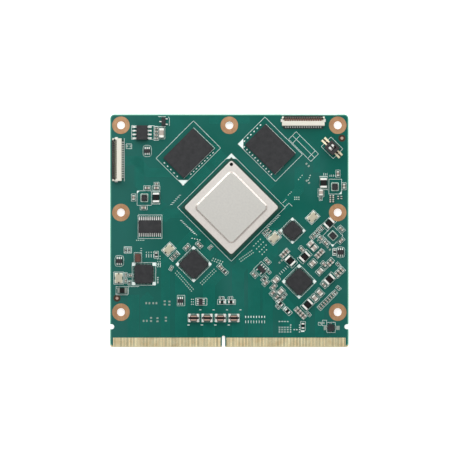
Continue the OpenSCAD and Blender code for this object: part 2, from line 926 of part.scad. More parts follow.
module medium_resistors() {
    color("black")
        for (p = medium_res_places)
            on_deck(p)
                chip(medium_l, medium_w, medium_w * res_h_share);
}

module diodes() {
    diode_l = 1.9;
    diode_w = 0.9;
    color("black")
        for (p = diode_places)
            on_deck(p)
                chip(diode_l, diode_w, diode_w * 0.7);
}

module ferrite_bead() {
    bead_l = 3.2;
    bead_w = 1.7;
    color("black")
        on_deck(bead_place)
            chip(bead_l, bead_w, bead_w * 0.6);
}

module underside_capacitors() {
    reach = (under_cap_count - 1) / 2;
    color("tan")
        for (i = [-reach:reach], j = [-reach:reach])
            under_deck([processor_place.x + (i - j) * under_cap_step / 2 + 9,
                processor_place.y + (i + j) * under_cap_step / 2, quarter])
                chip(small_l, small_w, small_w);
}

// Cable connector with a locking flap, with its contact tails at y = 0 and its mouth towards +y
field_l = (ways - 1) * way_pitch + way_t;
flap_end = 0.45;
flap_l = field_l + 2 * flap_end;
socket_l = flap_l + 2 * flap_play + 2 * socket_wall;
pivot_y = 2.45;
pivot_z = 1.08;
hook_in_r = flap_shaft_r + flap_play;
hook_out_r = hook_in_r + 0.18;
journal_l = 0.3;
floor_t = 0.3;
slot_play = 0.04;
tail_l = 0.6;

module each_way() {
    for (i = [0:ways - 1])
        translate([(i - (ways - 1) / 2) * way_pitch, 0, 0])
            children();
}

// Puts a profile drawn in depth and height upright, with the given thickness centred on x = 0
module plate(t) {
    translate([-t / 2, 0, 0])
        rotate([90, 0, 90])
            linear_extrude(t)
                children();
}

module socket_housing() {
    mouth_l = flap_l + 2 * flap_play;
    difference() {
        union() {
            plate(socket_l)
                polygon([[0, 0], [socket_d, 0], [socket_d, floor_t], [socket_block_d, floor_t],
                    [socket_block_d, socket_h - 0.15], [socket_block_d - 0.15, socket_h],
                    [0.25, socket_h], [0, socket_h - 0.25]]);
            for (side = [-1, 1])
                translate([side * (socket_l - socket_wall) / 2, 0, 0])
                    plate(socket_wall)
                        polygon([[1, 0], [socket_d, 0], [socket_d, 0.9], [socket_d - 0.35, socket_h - 0.2],
                            [socket_d - 0.55, socket_h], [1, socket_h]]);
        }
        // Bearings of the flap shaft, open to the top
        for (side = [-1, 1])
            translate([side * (mouth_l + journal_l + flap_play) / 2, 0, 0])
                plate(journal_l + flap_play + eps) {
                    translate([pivot_y, pivot_z])
                        circle(hook_in_r);
                    translate([pivot_y - hook_in_r, pivot_z])
                        square([2 * hook_in_r, socket_h]);
                }
        // Slots that hold the contacts
        each_way()
            plate(way_t + 2 * slot_play)
                polygon([[-1, -1], [-1, socket_h - 0.45], [0.5, pivot_z + hook_out_r + slot_play],
                    [socket_d - 0.3, pivot_z + hook_out_r + slot_play], [socket_d - 0.3, -1]]);
        // Chamber of the cable end in the rear block
        translate([-field_l / 2 - 0.3, 0.9, 0.55])
            cube([field_l + 0.6, socket_d, 0.35]);
    }
}

// Stamped contact: tail, post, lower beam with its bump and upper beam hooked over the flap shaft
module socket_contact() {
    beam_z = pivot_z + hook_in_r;
    plate(way_t)
        union() {
            polygon([[-tail_l, 0], [0.55, 0], [0.55, 0.12], [socket_d - 0.4, 0.12], [socket_d - 0.4, 0.3],
                [socket_d - 0.75, 0.5], [socket_d - 1.0, 0.5], [socket_d - 1.2, 0.32], [0.85, 0.32],
                [0.85, beam_z], [pivot_y, beam_z], [pivot_y, beam_z + 0.18], [0.35, beam_z + 0.18],
                [0.2, beam_z], [0.2, 0.2], [-tail_l, 0.2]]);
            translate([pivot_y, pivot_z])
                difference() {
                    circle(hook_out_r);
                    circle(hook_in_r);
                    translate([-2, -1])
                        square([2, 2]);
                    translate([-1, -2])
                        square([2, 2 - 0.1]);
                }
        }
}

module socket_anchors() {
    anchor_t = 0.2;
    anchor_d = 1;
    for (side = [-1, 1])
        translate([side * (socket_l / 2 + anchor_t / 2 + 0.01), 1.9 - anchor_d / 2, 0]) {
            translate([-anchor_t / 2, 0, 0])
                cube([anchor_t, anchor_d, 0.9]);
            translate([side > 0 ? -anchor_t / 2 : -0.4 + anchor_t / 2, 0, 0])
                cube([0.4, anchor_d, anchor_t]);
        }
}

// Locking flap, lying closed: a shaft held by the hooks, ribs between them and a front bar
module socket_flap() {
    slot_w = way_t + 2 * flap_play;
    slot_reach = hook_out_r + flap_play;
    difference() {
        union() {
            plate(flap_l)
                polygon([[pivot_y - flap_shaft_r, pivot_z], [pivot_y, pivot_z - flap_shaft_r],
                    [pivot_y + 0.55, pivot_z + 0.02], [pivot_y + flap_reach, pivot_z + 0.02],
                    [pivot_y + flap_reach, pivot_z + 0.4], [pivot_y + flap_reach - 0.12, pivot_z + 0.5],
                    [pivot_y - 0.1, pivot_z + 0.5], [pivot_y - flap_shaft_r, pivot_z + 0.38]]);
            plate(flap_l + 2 * journal_l)
                translate([pivot_y, pivot_z])
                    circle(flap_shaft_r);
        }
        each_way()
            plate(slot_w)
                difference() {
                    translate([pivot_y - 1, pivot_z - 1])
                        square([slot_reach + 1, 2]);
                    translate([pivot_y, pivot_z])
                        circle(flap_shaft_r);
                }
    }
}

module at_side_socket() {
    on_deck(side_socket_place)
        children();
}

module at_top_socket() {
    on_deck(top_socket_place)
        children();
}

module side_socket_housing() {
    color("ivory")
        at_side_socket()
            socket_housing();
}

module side_socket_contacts() {
    color("silver")
        at_side_socket()
            each_way()
                socket_contact();
}

module side_socket_anchors() {
    color("silver")
        at_side_socket()
            socket_anchors();
}

module side_socket_flap() {
    color("saddlebrown")
        at_side_socket()
            socket_flap();
}

module top_socket_housing() {
    color("ivory")
        at_top_socket()
            socket_housing();
}

module top_socket_contacts() {
    color("silver")
        at_top_socket()
            each_way()
                socket_contact();
}

module top_socket_anchors() {
    color("silver")
        at_top_socket()
            socket_anchors();
}

module top_socket_flap() {
    color("saddlebrown")
        at_top_socket()
            socket_flap();
}

// Selector switch, with its slides along x and their two ways side by side along y
base_h = switch_h * 0.42;
cover_t = 0.4;
cover_fit = 0.02;
knob_l = 0.9;
knob_w = 0.7;
carriage_l = 1.9;
carriage_w = 0.85;
carriage_h = 0.7;
carriage_z = base_h;
window_l = knob_l + slide_travel + 2 * slide_play;
window_w = knob_w + 2 * slide_play;
channel_l = carriage_l + slide_travel + 2 * slide_play;
channel_w = carriage_w + 2 * slide_play;
switch_lead_reach = 2.1;
switch_lead_w = 0.55;
bridge_h = 0.25;

module each_slide() {
    for (y = [-1, 1])
        translate([0, y * switch_pitch / 2, 0])
            children();
}

module switch_base() {
    color("black")
        on_deck(switch_place)
            difference() {
                translate([0, 0, lead_standoff])
                    block([switch_l - 2 * cover_t - cover_fit, switch_w - 2 * cover_t - cover_fit,
                        base_h - lead_standoff]);
                each_slide()
                    translate([0, 0, base_h - bridge_h - 0.05])
                        block([channel_l, channel_w - 0.2, 1]);
                each_slide()
                    for (side = [0, 180])
                        rotate(side)
                            translate([channel_l / 2 - 0.3 - cover_fit, -switch_lead_w / 2 - cover_fit,
                                base_h - bridge_h - 0.05 - lead_t])
                                cube([switch_l, switch_lead_w + 2 * cover_fit, 1]);
            }
}

module switch_cover() {
    color("black")
        on_deck(switch_place)
            difference() {
                translate([0, 0, lead_standoff])
                    block([switch_l, switch_w, switch_h - lead_standoff]);
                block([switch_l - 2 * cover_t, switch_w - 2 * cover_t, base_h]);
                each_slide()
                    block([channel_l, channel_w, carriage_z + carriage_h + slide_play]);
                each_slide()
                    block([window_l, window_w, switch_h + 1]);
                each_slide()
                    translate([0, 0, -1])
                        block([switch_l + 1, switch_lead_w + 2 * cover_fit, base_h - bridge_h + 1]);
            }
}

// Leads run in from both ends and lie under the bridges
module switch_leads() {
    rise = base_h - bridge_h - 0.05 - lead_t / 2;
    inner_x = channel_l / 2 - 0.3;
    color("silver")
        on_deck(switch_place)
            each_slide()
                for (side = [0, 180])
                    rotate(side) {
                        translate([inner_x, -switch_lead_w / 2, rise - lead_t / 2])
                            cube([switch_l / 2 - inner_x, switch_lead_w, lead_t]);
                        translate([switch_l / 2, 0, 0])
                            rotate(90)
                                gull_lead(switch_lead_reach, rise, switch_lead_w);
                    }
}

// Slide at the end of its travel nearest the lead side of -x
module switch_slide(which) {
    color("white")
        on_deck(switch_place)
            translate([-slide_travel / 2, which * switch_pitch / 2, 0]) {
                translate([0, 0, carriage_z])
                    block([carriage_l, carriage_w, carriage_h]);
                translate([0, 0, carriage_z])
                    block([knob_l, knob_w, switch_h - carriage_z - 0.1]);
            }
}

module switch_slide_1() {
    switch_slide(-1);
}

module switch_slide_2() {
    switch_slide(1);
}

// Springy bridge under a slide, which joins the two leads at one end of the travel
module switch_bridge(which) {
    bridge_l = 1.5;
    bridge_w = 0.5;
    bridge_t = 0.08;
    color("goldenrod")
        on_deck(switch_place)
            translate([-slide_travel / 2, which * switch_pitch / 2, carriage_z - bridge_h])
                difference() {
                    block([bridge_l, bridge_w, bridge_h]);
                    translate([0, 0, -1])
                        block([bridge_l - 2 * bridge_t, 1, bridge_h - bridge_t + 1]);
                }
}

module switch_bridge_1() {
    switch_bridge(-1);
}

module switch_bridge_2() {
    switch_bridge(1);
}

board();
hole_sleeves();
top_contacts();
bottom_contacts();
fiducial_marks();
processor_substrate();
processor_die();
processor_lid();
processor_balls();
left_memory();
right_memory();
memory_balls();
flash_package();
flash_balls();
eight_lead_body();
eight_lead_leads();
wide_chip_body();
wide_chip_leads();
small_chip_bodies();
small_chip_leads();
centre_flat_package();
left_flat_package();
lower_flat_package();
right_flat_package();
corner_flat_package();
flat_package_terminals();
flat_package_slugs();
converter_bodies();
converter_terminals();
inductor_cores();
inductor_terminals();
choke_cores();
choke_windings();
choke_terminals();
crystal_bases();
crystal_lids();
small_capacitors();
medium_capacitors();
large_capacitors();
small_resistors();
medium_resistors();
diodes();
ferrite_bead();
underside_capacitors();
side_socket_housing();
side_socket_contacts();
side_socket_anchors();
side_socket_flap();
top_socket_housing();
top_socket_contacts();
top_socket_anchors();
top_socket_flap();
switch_base();
switch_cover();
switch_leads();
switch_slide_1();
switch_slide_2();
switch_bridge_1();
switch_bridge_2();
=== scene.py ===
import json
import math

import bmesh
import bpy
from bpy.props import FloatProperty, FloatVectorProperty, IntProperty, PointerProperty
from mathutils import Matrix, Vector


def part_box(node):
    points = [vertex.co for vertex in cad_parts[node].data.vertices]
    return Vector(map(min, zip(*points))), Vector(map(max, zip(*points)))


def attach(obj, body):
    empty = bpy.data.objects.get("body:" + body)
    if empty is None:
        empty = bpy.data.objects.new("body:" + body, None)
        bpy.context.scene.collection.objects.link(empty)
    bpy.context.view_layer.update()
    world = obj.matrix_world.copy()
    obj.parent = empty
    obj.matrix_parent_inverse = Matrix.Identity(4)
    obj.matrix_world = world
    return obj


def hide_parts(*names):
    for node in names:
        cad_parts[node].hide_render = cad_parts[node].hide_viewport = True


bl_info = {
    "name": "Card-edge module finishes",
    "version": (1, 0, 0),
    "blender": (4, 5, 0),
    "location": "View3D > Sidebar > Module",
    "description": "Dresses a card-edge computer module in its mask, print, solder and small parts",
    "category": "Object",
}

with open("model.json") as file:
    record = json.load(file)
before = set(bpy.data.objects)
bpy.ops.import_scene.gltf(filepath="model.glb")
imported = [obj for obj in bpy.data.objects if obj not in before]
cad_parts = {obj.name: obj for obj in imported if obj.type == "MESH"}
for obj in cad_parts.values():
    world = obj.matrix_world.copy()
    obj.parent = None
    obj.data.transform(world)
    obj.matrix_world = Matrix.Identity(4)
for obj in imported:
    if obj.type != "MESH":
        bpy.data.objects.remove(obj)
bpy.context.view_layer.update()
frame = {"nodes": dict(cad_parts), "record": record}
NODES = frame["nodes"]
SLOTS = {part["node"]: part["material_slot"] for part in frame["record"]["subparts"]}
MM = 0.001
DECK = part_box("board")[1].z
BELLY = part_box("board")[0].z
BOARD_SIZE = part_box("board")[1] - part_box("board")[0]
QUARTER = 45

# The photograph's frame, in its pixels
PHOTO_SIZE = 460
BOARD_CENTRE_PX = (229.33, 230.7)
PX_PER_MM = 2.91


def tint(red, green, blue):
    """Linear colour from screen values of 0 to 255"""
    def linear(value):
        share = value / 255
        return share / 12.92 if share <= 0.04045 else ((share + 0.055) / 1.055) ** 2.4
    return (linear(red), linear(green), linear(blue))


def with_alpha(colour):
    return (*colour, 1.0)


# ---- Settings that a user would change


def length(name, description, default, most=0.01):
    return FloatProperty(name=name, description=description, default=default, min=0.0, max=most,
                         precision=5, subtype="DISTANCE", unit="LENGTH")


def colour(name, description, default):
    return FloatVectorProperty(name=name, description=description, default=default, size=3,
                               min=0.0, max=1.0, subtype="COLOR")


class StageSettings(bpy.types.PropertyGroup):
    camera_height: length("Camera height", "Height of the lens above the board", 1.2, 5)
    light_distance: length("Light distance", "Distance of the soft lights from the board", 0.4, 5)
    key_power: FloatProperty(name="Key power", description="Power of the far soft light", default=1.1,
                             min=0, subtype="POWER", unit="POWER")
    rake_power: FloatProperty(name="Rake power", description="Power of each low far light", default=0.7,
                              min=0, subtype="POWER", unit="POWER")
    fill_power: FloatProperty(name="Fill power", description="Power of the near soft light", default=0.3,
                              min=0, subtype="POWER", unit="POWER")
    sky: FloatProperty(name="Sky", description="Strength of the even light from all round", default=0.39,
                       min=0, max=2)
    floor: colour("Floor", "Colour of the floor", (0.9, 0.9, 0.9))


class BoardSettings(bpy.types.PropertyGroup):
    mask: colour("Mask", "Main green of the board", tint(0, 83, 71))
    mask_over_copper: colour("Mask over copper", "Green where copper lies under the mask", tint(10, 97, 87))
    # Greyer green of random duller areas, also painted in as a sheen that grows towards the left edge
    dull_and_sheen_mask: colour("Dull and sheen mask", "Duller green of some areas", tint(44, 98, 92))
    laminate: colour("Laminate", "Bare edge of the board", tint(136, 208, 186))
    card_edge: colour("Card edge", "Bevelled edge below the contacts", tint(214, 202, 166))
    rim: length("Rim", "Width of bare laminate along the outline", 0.0005)
    trace_width: length("Trace width", "Width of one copper line", 0.00014)
    trace_rise: length("Trace rise", "Height of a covered copper line", 0.000012)


class PrintSettings(bpy.types.PropertyGroup):
    ink: colour("Ink", "Colour of the printed marks", tint(238, 248, 244))
    line: length("Line", "Width of a printed line", 0.00012)
    fine_line: length("Fine line", "Width of the line round a small part", 0.0001)
    rise: length("Rise", "Thickness of the print", 0.000018)


class ChipSettings(bpy.types.PropertyGroup):
    end_share: FloatProperty(name="End share", description="Length of each plated end, as a share of the part",
                             default=0.24, min=0.05, max=0.4, subtype="FACTOR")
    edge: length("Edge", "Rounding of the edges", 0.00005)
    flare: length("Flare", "How far the solder runs out past each end", 0.00022)


class SolderSettings(bpy.types.PropertyGroup):
    flare: length("Flare", "How far the solder runs out round a lead's foot", 0.0001)
    rise: length("Rise", "Height of the solder at a lead's foot", 0.00012)


class PackageSettings(bpy.types.PropertyGroup):
    edge: length("Edge", "Rounding of the moulded edges", 0.00004)
    steps: IntProperty(name="Steps", description="Facets in each rounded edge", default=2, min=1, max=6)


class LidSettings(bpy.types.PropertyGroup):
    shoulder: length("Shoulder", "Rounding of the stamped edges", 0.00018)
    rim_height: length("Rim height", "Thickness of the lid's rim", 0.0005)
    dot: length("First-pin dot", "Diameter of the dark dot at the first corner", 0.0012)
    metal: colour("Metal", "Colour of the plated lid", tint(201, 199, 193))


GROUPS = {
    "module_stage": StageSettings,
    "module_board": BoardSettings,
    "module_print": PrintSettings,
    "module_chips": ChipSettings,
    "module_solder": SolderSettings,
    "module_packages": PackageSettings,
    "module_lid": LidSettings,
}


# ---- Node trees


def add(tree, kind, feed=None, **settings):
    """Adds a node with its settings and feeds its inputs with sockets or values"""
    node = tree.nodes.new(kind)
    for key, value in settings.items():
        setattr(node, key, value)
    for key, value in (feed or {}).items():
        if isinstance(value, bpy.types.NodeSocket):
            tree.links.new(value, node.inputs[key])
        else:
            node.inputs[key].default_value = value
    return node


def new_tree(name, kind, inputs, outputs):
    """Empty node group with its named sockets, its input node and its output node"""
    tree = bpy.data.node_groups.new(name, kind)
    for label, socket, default in inputs:
        made = tree.interface.new_socket(label, in_out="INPUT", socket_type=socket)
        if default is not None:
            made.default_value = default
    for label, socket in outputs:
        tree.interface.new_socket(label, in_out="OUTPUT", socket_type=socket)
    return tree, tree.nodes.new("NodeGroupInput").outputs, tree.nodes.new("NodeGroupOutput").inputs


def vector(tree, operation, *values):
    """Vector sum, product and the like of sockets or values"""
    node = add(tree, "ShaderNodeVectorMath", operation=operation)
    for place, value in enumerate(values):
        socket = node.inputs["Scale"] if operation == "SCALE" and place == 1 else node.inputs[place]
        if isinstance(value, bpy.types.NodeSocket):
            tree.links.new(value, socket)
        else:
            socket.default_value = value
    return node.outputs["Value" if operation in {"LENGTH", "DOT_PRODUCT", "DISTANCE"} else "Vector"]


def maths(tree, operation, *values, clamp=False):
    """Sum, product and the like of sockets or values"""
    return add(tree, "ShaderNodeMath", dict(enumerate(values)), operation=operation,
               use_clamp=clamp).outputs[0]


# ---- Shader groups


def tone_group():
    """Two tones that drift into each other over the surface"""
    tree, given, result = new_tree("Tone drift", "ShaderNodeTree", [
        ("Vector", "NodeSocketVector", None), ("Scale", "NodeSocketFloat", 100.0),
        ("Colour", "NodeSocketColor", None), ("Second colour", "NodeSocketColor", None),
        ("Amount", "NodeSocketFloat", 0.5)], [("Colour", "NodeSocketColor")])
    noise = add(tree, "ShaderNodeTexNoise", {"Vector": given["Vector"], "Scale": given["Scale"],
                                             "Detail": 4.0, "Roughness": 0.6})
    spread = add(tree, "ShaderNodeMapRange", {"Value": noise.outputs["Fac"], "From Min": 0.35,
                                              "From Max": 0.65, "To Min": 0.0})
    tree.links.new(given["Amount"], spread.inputs["To Max"])
    mix = add(tree, "ShaderNodeMix", {0: spread.outputs[0], 6: given["Colour"], 7: given["Second colour"]},
              data_type="RGBA")
    tree.links.new(mix.outputs[2], result["Colour"])
    return tree


def grain_group():
    """Fine grain: a height for the bump and a roughness that varies with it"""
    tree, given, result = new_tree("Fine grain", "ShaderNodeTree", [
        ("Vector", "NodeSocketVector", None), ("Scale", "NodeSocketFloat", 3000.0),
        ("Roughness", "NodeSocketFloat", 0.5), ("Spread", "NodeSocketFloat", 0.1)],
        [("Roughness", "NodeSocketFloat"), ("Height", "NodeSocketFloat")])
    noise = add(tree, "ShaderNodeTexNoise", {"Vector": given["Vector"], "Scale": given["Scale"],
                                             "Detail": 3.0, "Roughness": 0.55})
    centred = maths(tree, "SUBTRACT", noise.outputs["Fac"], 0.5)
    wide = maths(tree, "MULTIPLY", centred, given["Spread"])
    tree.links.new(maths(tree, "ADD", wide, given["Roughness"], clamp=True), result["Roughness"])
    tree.links.new(noise.outputs["Fac"], result["Height"])
    return tree


def region_group():
    """Board areas with straight and diagonal borders, as copper areas under the mask show"""
    tree, given, result = new_tree("Copper areas", "ShaderNodeTree", [
        ("Vector", "NodeSocketVector", None), ("Scale", "NodeSocketFloat", 120.0),
        ("Stretch", "NodeSocketVector", (1.0, 1.0, 0.0))], [("Mask", "NodeSocketFloat")])
    flat = vector(tree, "MULTIPLY", given["Vector"], given["Stretch"])
    diagonal = add(tree, "ShaderNodeMapping", {"Vector": flat, "Rotation": (0, 0, math.radians(QUARTER))})
    cells = add(tree, "ShaderNodeTexVoronoi", {"Vector": diagonal.outputs[0], "Scale": given["Scale"],
                                               "Randomness": 0.9, "Smoothness": 0.35},
                distance="CHEBYCHEV", feature="SMOOTH_F1")
    split = add(tree, "ShaderNodeSeparateColor", {"Color": cells.outputs["Color"]})
    tree.links.new(split.outputs[0], result["Mask"])
    return tree


def outline_group():
    """Share of bare laminate: 1 on the side faces, rising to 1 at the outline, 0 elsewhere"""
    tree, given, result = new_tree("Bare outline", "ShaderNodeTree", [
        ("Vector", "NodeSocketVector", None), ("Half size", "NodeSocketVector", None),
        ("Corner", "NodeSocketFloat", 0.0015), ("Rim", "NodeSocketFloat", 0.0002),
        ("Upright", "NodeSocketFloat", 1.0)], [("Mask", "NodeSocketFloat")])
    corner = add(tree, "ShaderNodeCombineXYZ", {0: given["Corner"], 1: given["Corner"]})
    inner = vector(tree, "SUBTRACT", given["Half size"], corner.outputs[0])
    past = vector(tree, "SUBTRACT", vector(tree, "ABSOLUTE", given["Vector"]), inner)
    flat = vector(tree, "MULTIPLY", vector(tree, "MAXIMUM", past, (0, 0, 0)), (1, 1, 0))
    near = maths(tree, "SUBTRACT", given["Corner"], given["Rim"])
    edge = add(tree, "ShaderNodeMapRange", {"Value": vector(tree, "LENGTH", flat)}, clamp=True)
    tree.links.new(near, edge.inputs["From Min"])
    tree.links.new(given["Corner"], edge.inputs["From Max"])
    side = maths(tree, "LESS_THAN", maths(tree, "ABSOLUTE", given["Upright"]), 0.5)
    tree.links.new(maths(tree, "MAXIMUM", edge.outputs[0], side), result["Mask"])
    return tree


def brushed_group():
    """Fine lines left by rolling or grinding, as a height and a shade"""
    tree, given, result = new_tree("Brushed lines", "ShaderNodeTree", [
        ("Vector", "NodeSocketVector", None), ("Scale", "NodeSocketFloat", 2000.0),
        ("Stretch", "NodeSocketVector", (1.0, 0.05, 1.0)), ("Darkest", "NodeSocketFloat", 0.86)],
        [("Height", "NodeSocketFloat"), ("Shade", "NodeSocketFloat")])
    drawn = vector(tree, "MULTIPLY", given["Vector"], given["Stretch"])
    noise = add(tree, "ShaderNodeTexNoise", {"Vector": drawn, "Scale": given["Scale"], "Detail": 2.0})
    tree.links.new(noise.outputs["Fac"], result["Height"])
    shade = add(tree, "ShaderNodeMapRange", {"Value": noise.outputs["Fac"], "From Min": 0.3,
                                             "From Max": 0.7, "To Max": 1.06})
    tree.links.new(given["Darkest"], shade.inputs["To Min"])
    tree.links.new(shade.outputs[0], result["Shade"])
    return tree


SHADERS = {}


def use(tree, group, feed):
    """Places a shared shader group in a material"""
    node = add(tree, "ShaderNodeGroup")
    node.node_tree = SHADERS[group]
    for key, value in feed.items():
        if isinstance(value, bpy.types.NodeSocket):
            tree.links.new(value, node.inputs[key])
        else:
            node.inputs[key].default_value = value
    return node.outputs


def blank(name):
    """New material with its shader and the object coordinates"""
    made = bpy.data.materials.new(name)
    made.use_nodes = True
    tree = made.node_tree
    place = add(tree, "ShaderNodeTexCoord").outputs["Object"]
    return made, tree, tree.nodes["Principled BSDF"], place


def finish(name, base, second, drift=300.0, amount=0.6, rough=0.5, spread=0.15, grain=4000.0,
           bump=0.1, metal=0.0, specular=0.5, coat=0.0):
    """Everyday finish: two drifting tones, fine grain in roughness and bump"""
    made, tree, shader, place = blank(name)
    tone = use(tree, "tone", {"Vector": place, "Scale": drift, "Colour": with_alpha(base),
                              "Second colour": with_alpha(second), "Amount": amount})
    fine = use(tree, "grain", {"Vector": place, "Scale": grain, "Roughness": rough, "Spread": spread})
    relief = add(tree, "ShaderNodeBump", {"Height": fine["Height"], "Strength": bump, "Distance": 0.00002})
    tree.links.new(tone["Colour"], shader.inputs["Base Color"])
    tree.links.new(fine["Roughness"], shader.inputs["Roughness"])
    tree.links.new(relief.outputs[0], shader.inputs["Normal"])
    shader.inputs["Metallic"].default_value = metal
    shader.inputs["Specular IOR Level"].default_value = specular
    shader.inputs["Coat Weight"].default_value = coat
    return made


def mask_finish(board):
    """Green mask over copper areas, greyed in random duller areas and by a painted sheen towards the left, with
    bare laminate along the outline
    """
    made, tree, shader, place = blank("solder_mask")
    areas = use(tree, "region", {"Vector": place, "Scale": 95.0})
    bands = use(tree, "region", {"Vector": place, "Scale": 210.0, "Stretch": (1.0, 0.45, 0.0)})
    both = maths(tree, "MULTIPLY", maths(tree, "ADD", areas["Mask"], bands["Mask"]), 0.5)
    soft = add(tree, "ShaderNodeTexNoise", {"Vector": place, "Scale": 70.0, "Detail": 3.0})
    share = maths(tree, "MULTIPLY", maths(tree, "ADD", maths(tree, "MULTIPLY", both, 0.45), 0.2),
                  maths(tree, "MULTIPLY", soft.outputs["Fac"], 2.0), clamp=True)
    fresh = add(tree, "ShaderNodeMix", {0: share, 6: with_alpha(board.mask),
                                        7: with_alpha(board.mask_over_copper)}, data_type="RGBA")
    dull = use(tree, "region", {"Vector": place, "Scale": 60.0, "Stretch": (0.8, 1.2, 0.0)})
    wide = add(tree, "ShaderNodeTexNoise", {"Vector": place, "Scale": 38.0, "Detail": 2.0})
    drift = add(tree, "ShaderNodeMapRange", {"Value": wide.outputs["Fac"], "From Min": 0.4, "From Max": 0.62})
    part = maths(tree, "MULTIPLY", maths(tree, "ADD", maths(tree, "MULTIPLY", dull["Mask"], 0.35), 0.25),
                 drift.outputs[0], clamp=True)
    across = add(tree, "ShaderNodeSeparateXYZ", {0: place})
    # Painted sheen: the mask is mixed more and more towards the greyer green towards the left edge
    painted_sheen = add(tree, "ShaderNodeMapRange", {"Value": across.outputs["X"], "From Min": -BOARD_SIZE.x * 0.12,
                                            "From Max": -BOARD_SIZE.x * 0.45, "To Max": 0.55})
    dull_and_sheen_share = maths(tree, "MAXIMUM", part, painted_sheen.outputs[0])
    green = add(tree, "ShaderNodeMix", {0: dull_and_sheen_share, 6: fresh.outputs[2], 7: with_alpha(board.dull_and_sheen_mask)},
                data_type="RGBA")
    upright = add(tree, "ShaderNodeSeparateXYZ", {0: add(tree, "ShaderNodeNewGeometry").outputs["Normal"]})
    bare = use(tree, "outline", {"Vector": place, "Half size": BOARD_SIZE / 2, "Rim": board.rim,
                                 "Upright": upright.outputs["Z"]})
    laminate = use(tree, "tone", {"Vector": place, "Scale": 900.0, "Colour": with_alpha(board.laminate),
                                  "Second colour": with_alpha(tint(140, 204, 172)), "Amount": 0.8})
    card_edge = maths(tree, "LESS_THAN", across.outputs["Y"], -BOARD_SIZE.y * 0.49)
    edge = add(tree, "ShaderNodeMix", {0: card_edge, 6: laminate["Colour"], 7: with_alpha(board.card_edge)},
               data_type="RGBA")
    mixed = add(tree, "ShaderNodeMix", {0: bare["Mask"], 6: green.outputs[2], 7: edge.outputs[2]},
                data_type="RGBA")
    fine = use(tree, "grain", {"Vector": place, "Scale": 2600.0, "Roughness": 0.42, "Spread": 0.12})
    relief = add(tree, "ShaderNodeBump", {"Height": fine["Height"], "Strength": 0.08, "Distance": 0.00002})
    tree.links.new(mixed.outputs[2], shader.inputs["Base Color"])
    tree.links.new(fine["Roughness"], shader.inputs["Roughness"])
    tree.links.new(relief.outputs[0], shader.inputs["Normal"])
    shader.inputs["Specular IOR Level"].default_value = 0.12
    return made


def drawn_finish(name, base, stretch, scale, rough, metal, second=None, darkest=0.86):
    """Metal with fine drawn lines that shade its colour"""
    made, tree, shader, place = blank(name)
    lines = use(tree, "brushed", {"Vector": place, "Scale": scale, "Stretch": stretch, "Darkest": darkest})
    tone = use(tree, "tone", {"Vector": place, "Scale": 350.0, "Colour": with_alpha(base),
                              "Second colour": with_alpha(second or base), "Amount": 0.7})
    grey = add(tree, "ShaderNodeCombineColor", {0: lines["Shade"], 1: lines["Shade"], 2: lines["Shade"]})
    shaded = add(tree, "ShaderNodeMix", {0: 1.0, 6: tone["Colour"], 7: grey.outputs[0]},
                 data_type="RGBA", blend_type="MULTIPLY")
    relief = add(tree, "ShaderNodeBump", {"Height": lines["Height"], "Strength": 0.12, "Distance": 0.00001})
    fine = use(tree, "grain", {"Vector": place, "Scale": 5000.0, "Roughness": rough, "Spread": 0.14})
    tree.links.new(shaded.outputs[2], shader.inputs["Base Color"])
    tree.links.new(relief.outputs[0], shader.inputs["Normal"])
    tree.links.new(fine["Roughness"], shader.inputs["Roughness"])
    shader.inputs["Metallic"].default_value = metal
    return made


FINISHES = {}


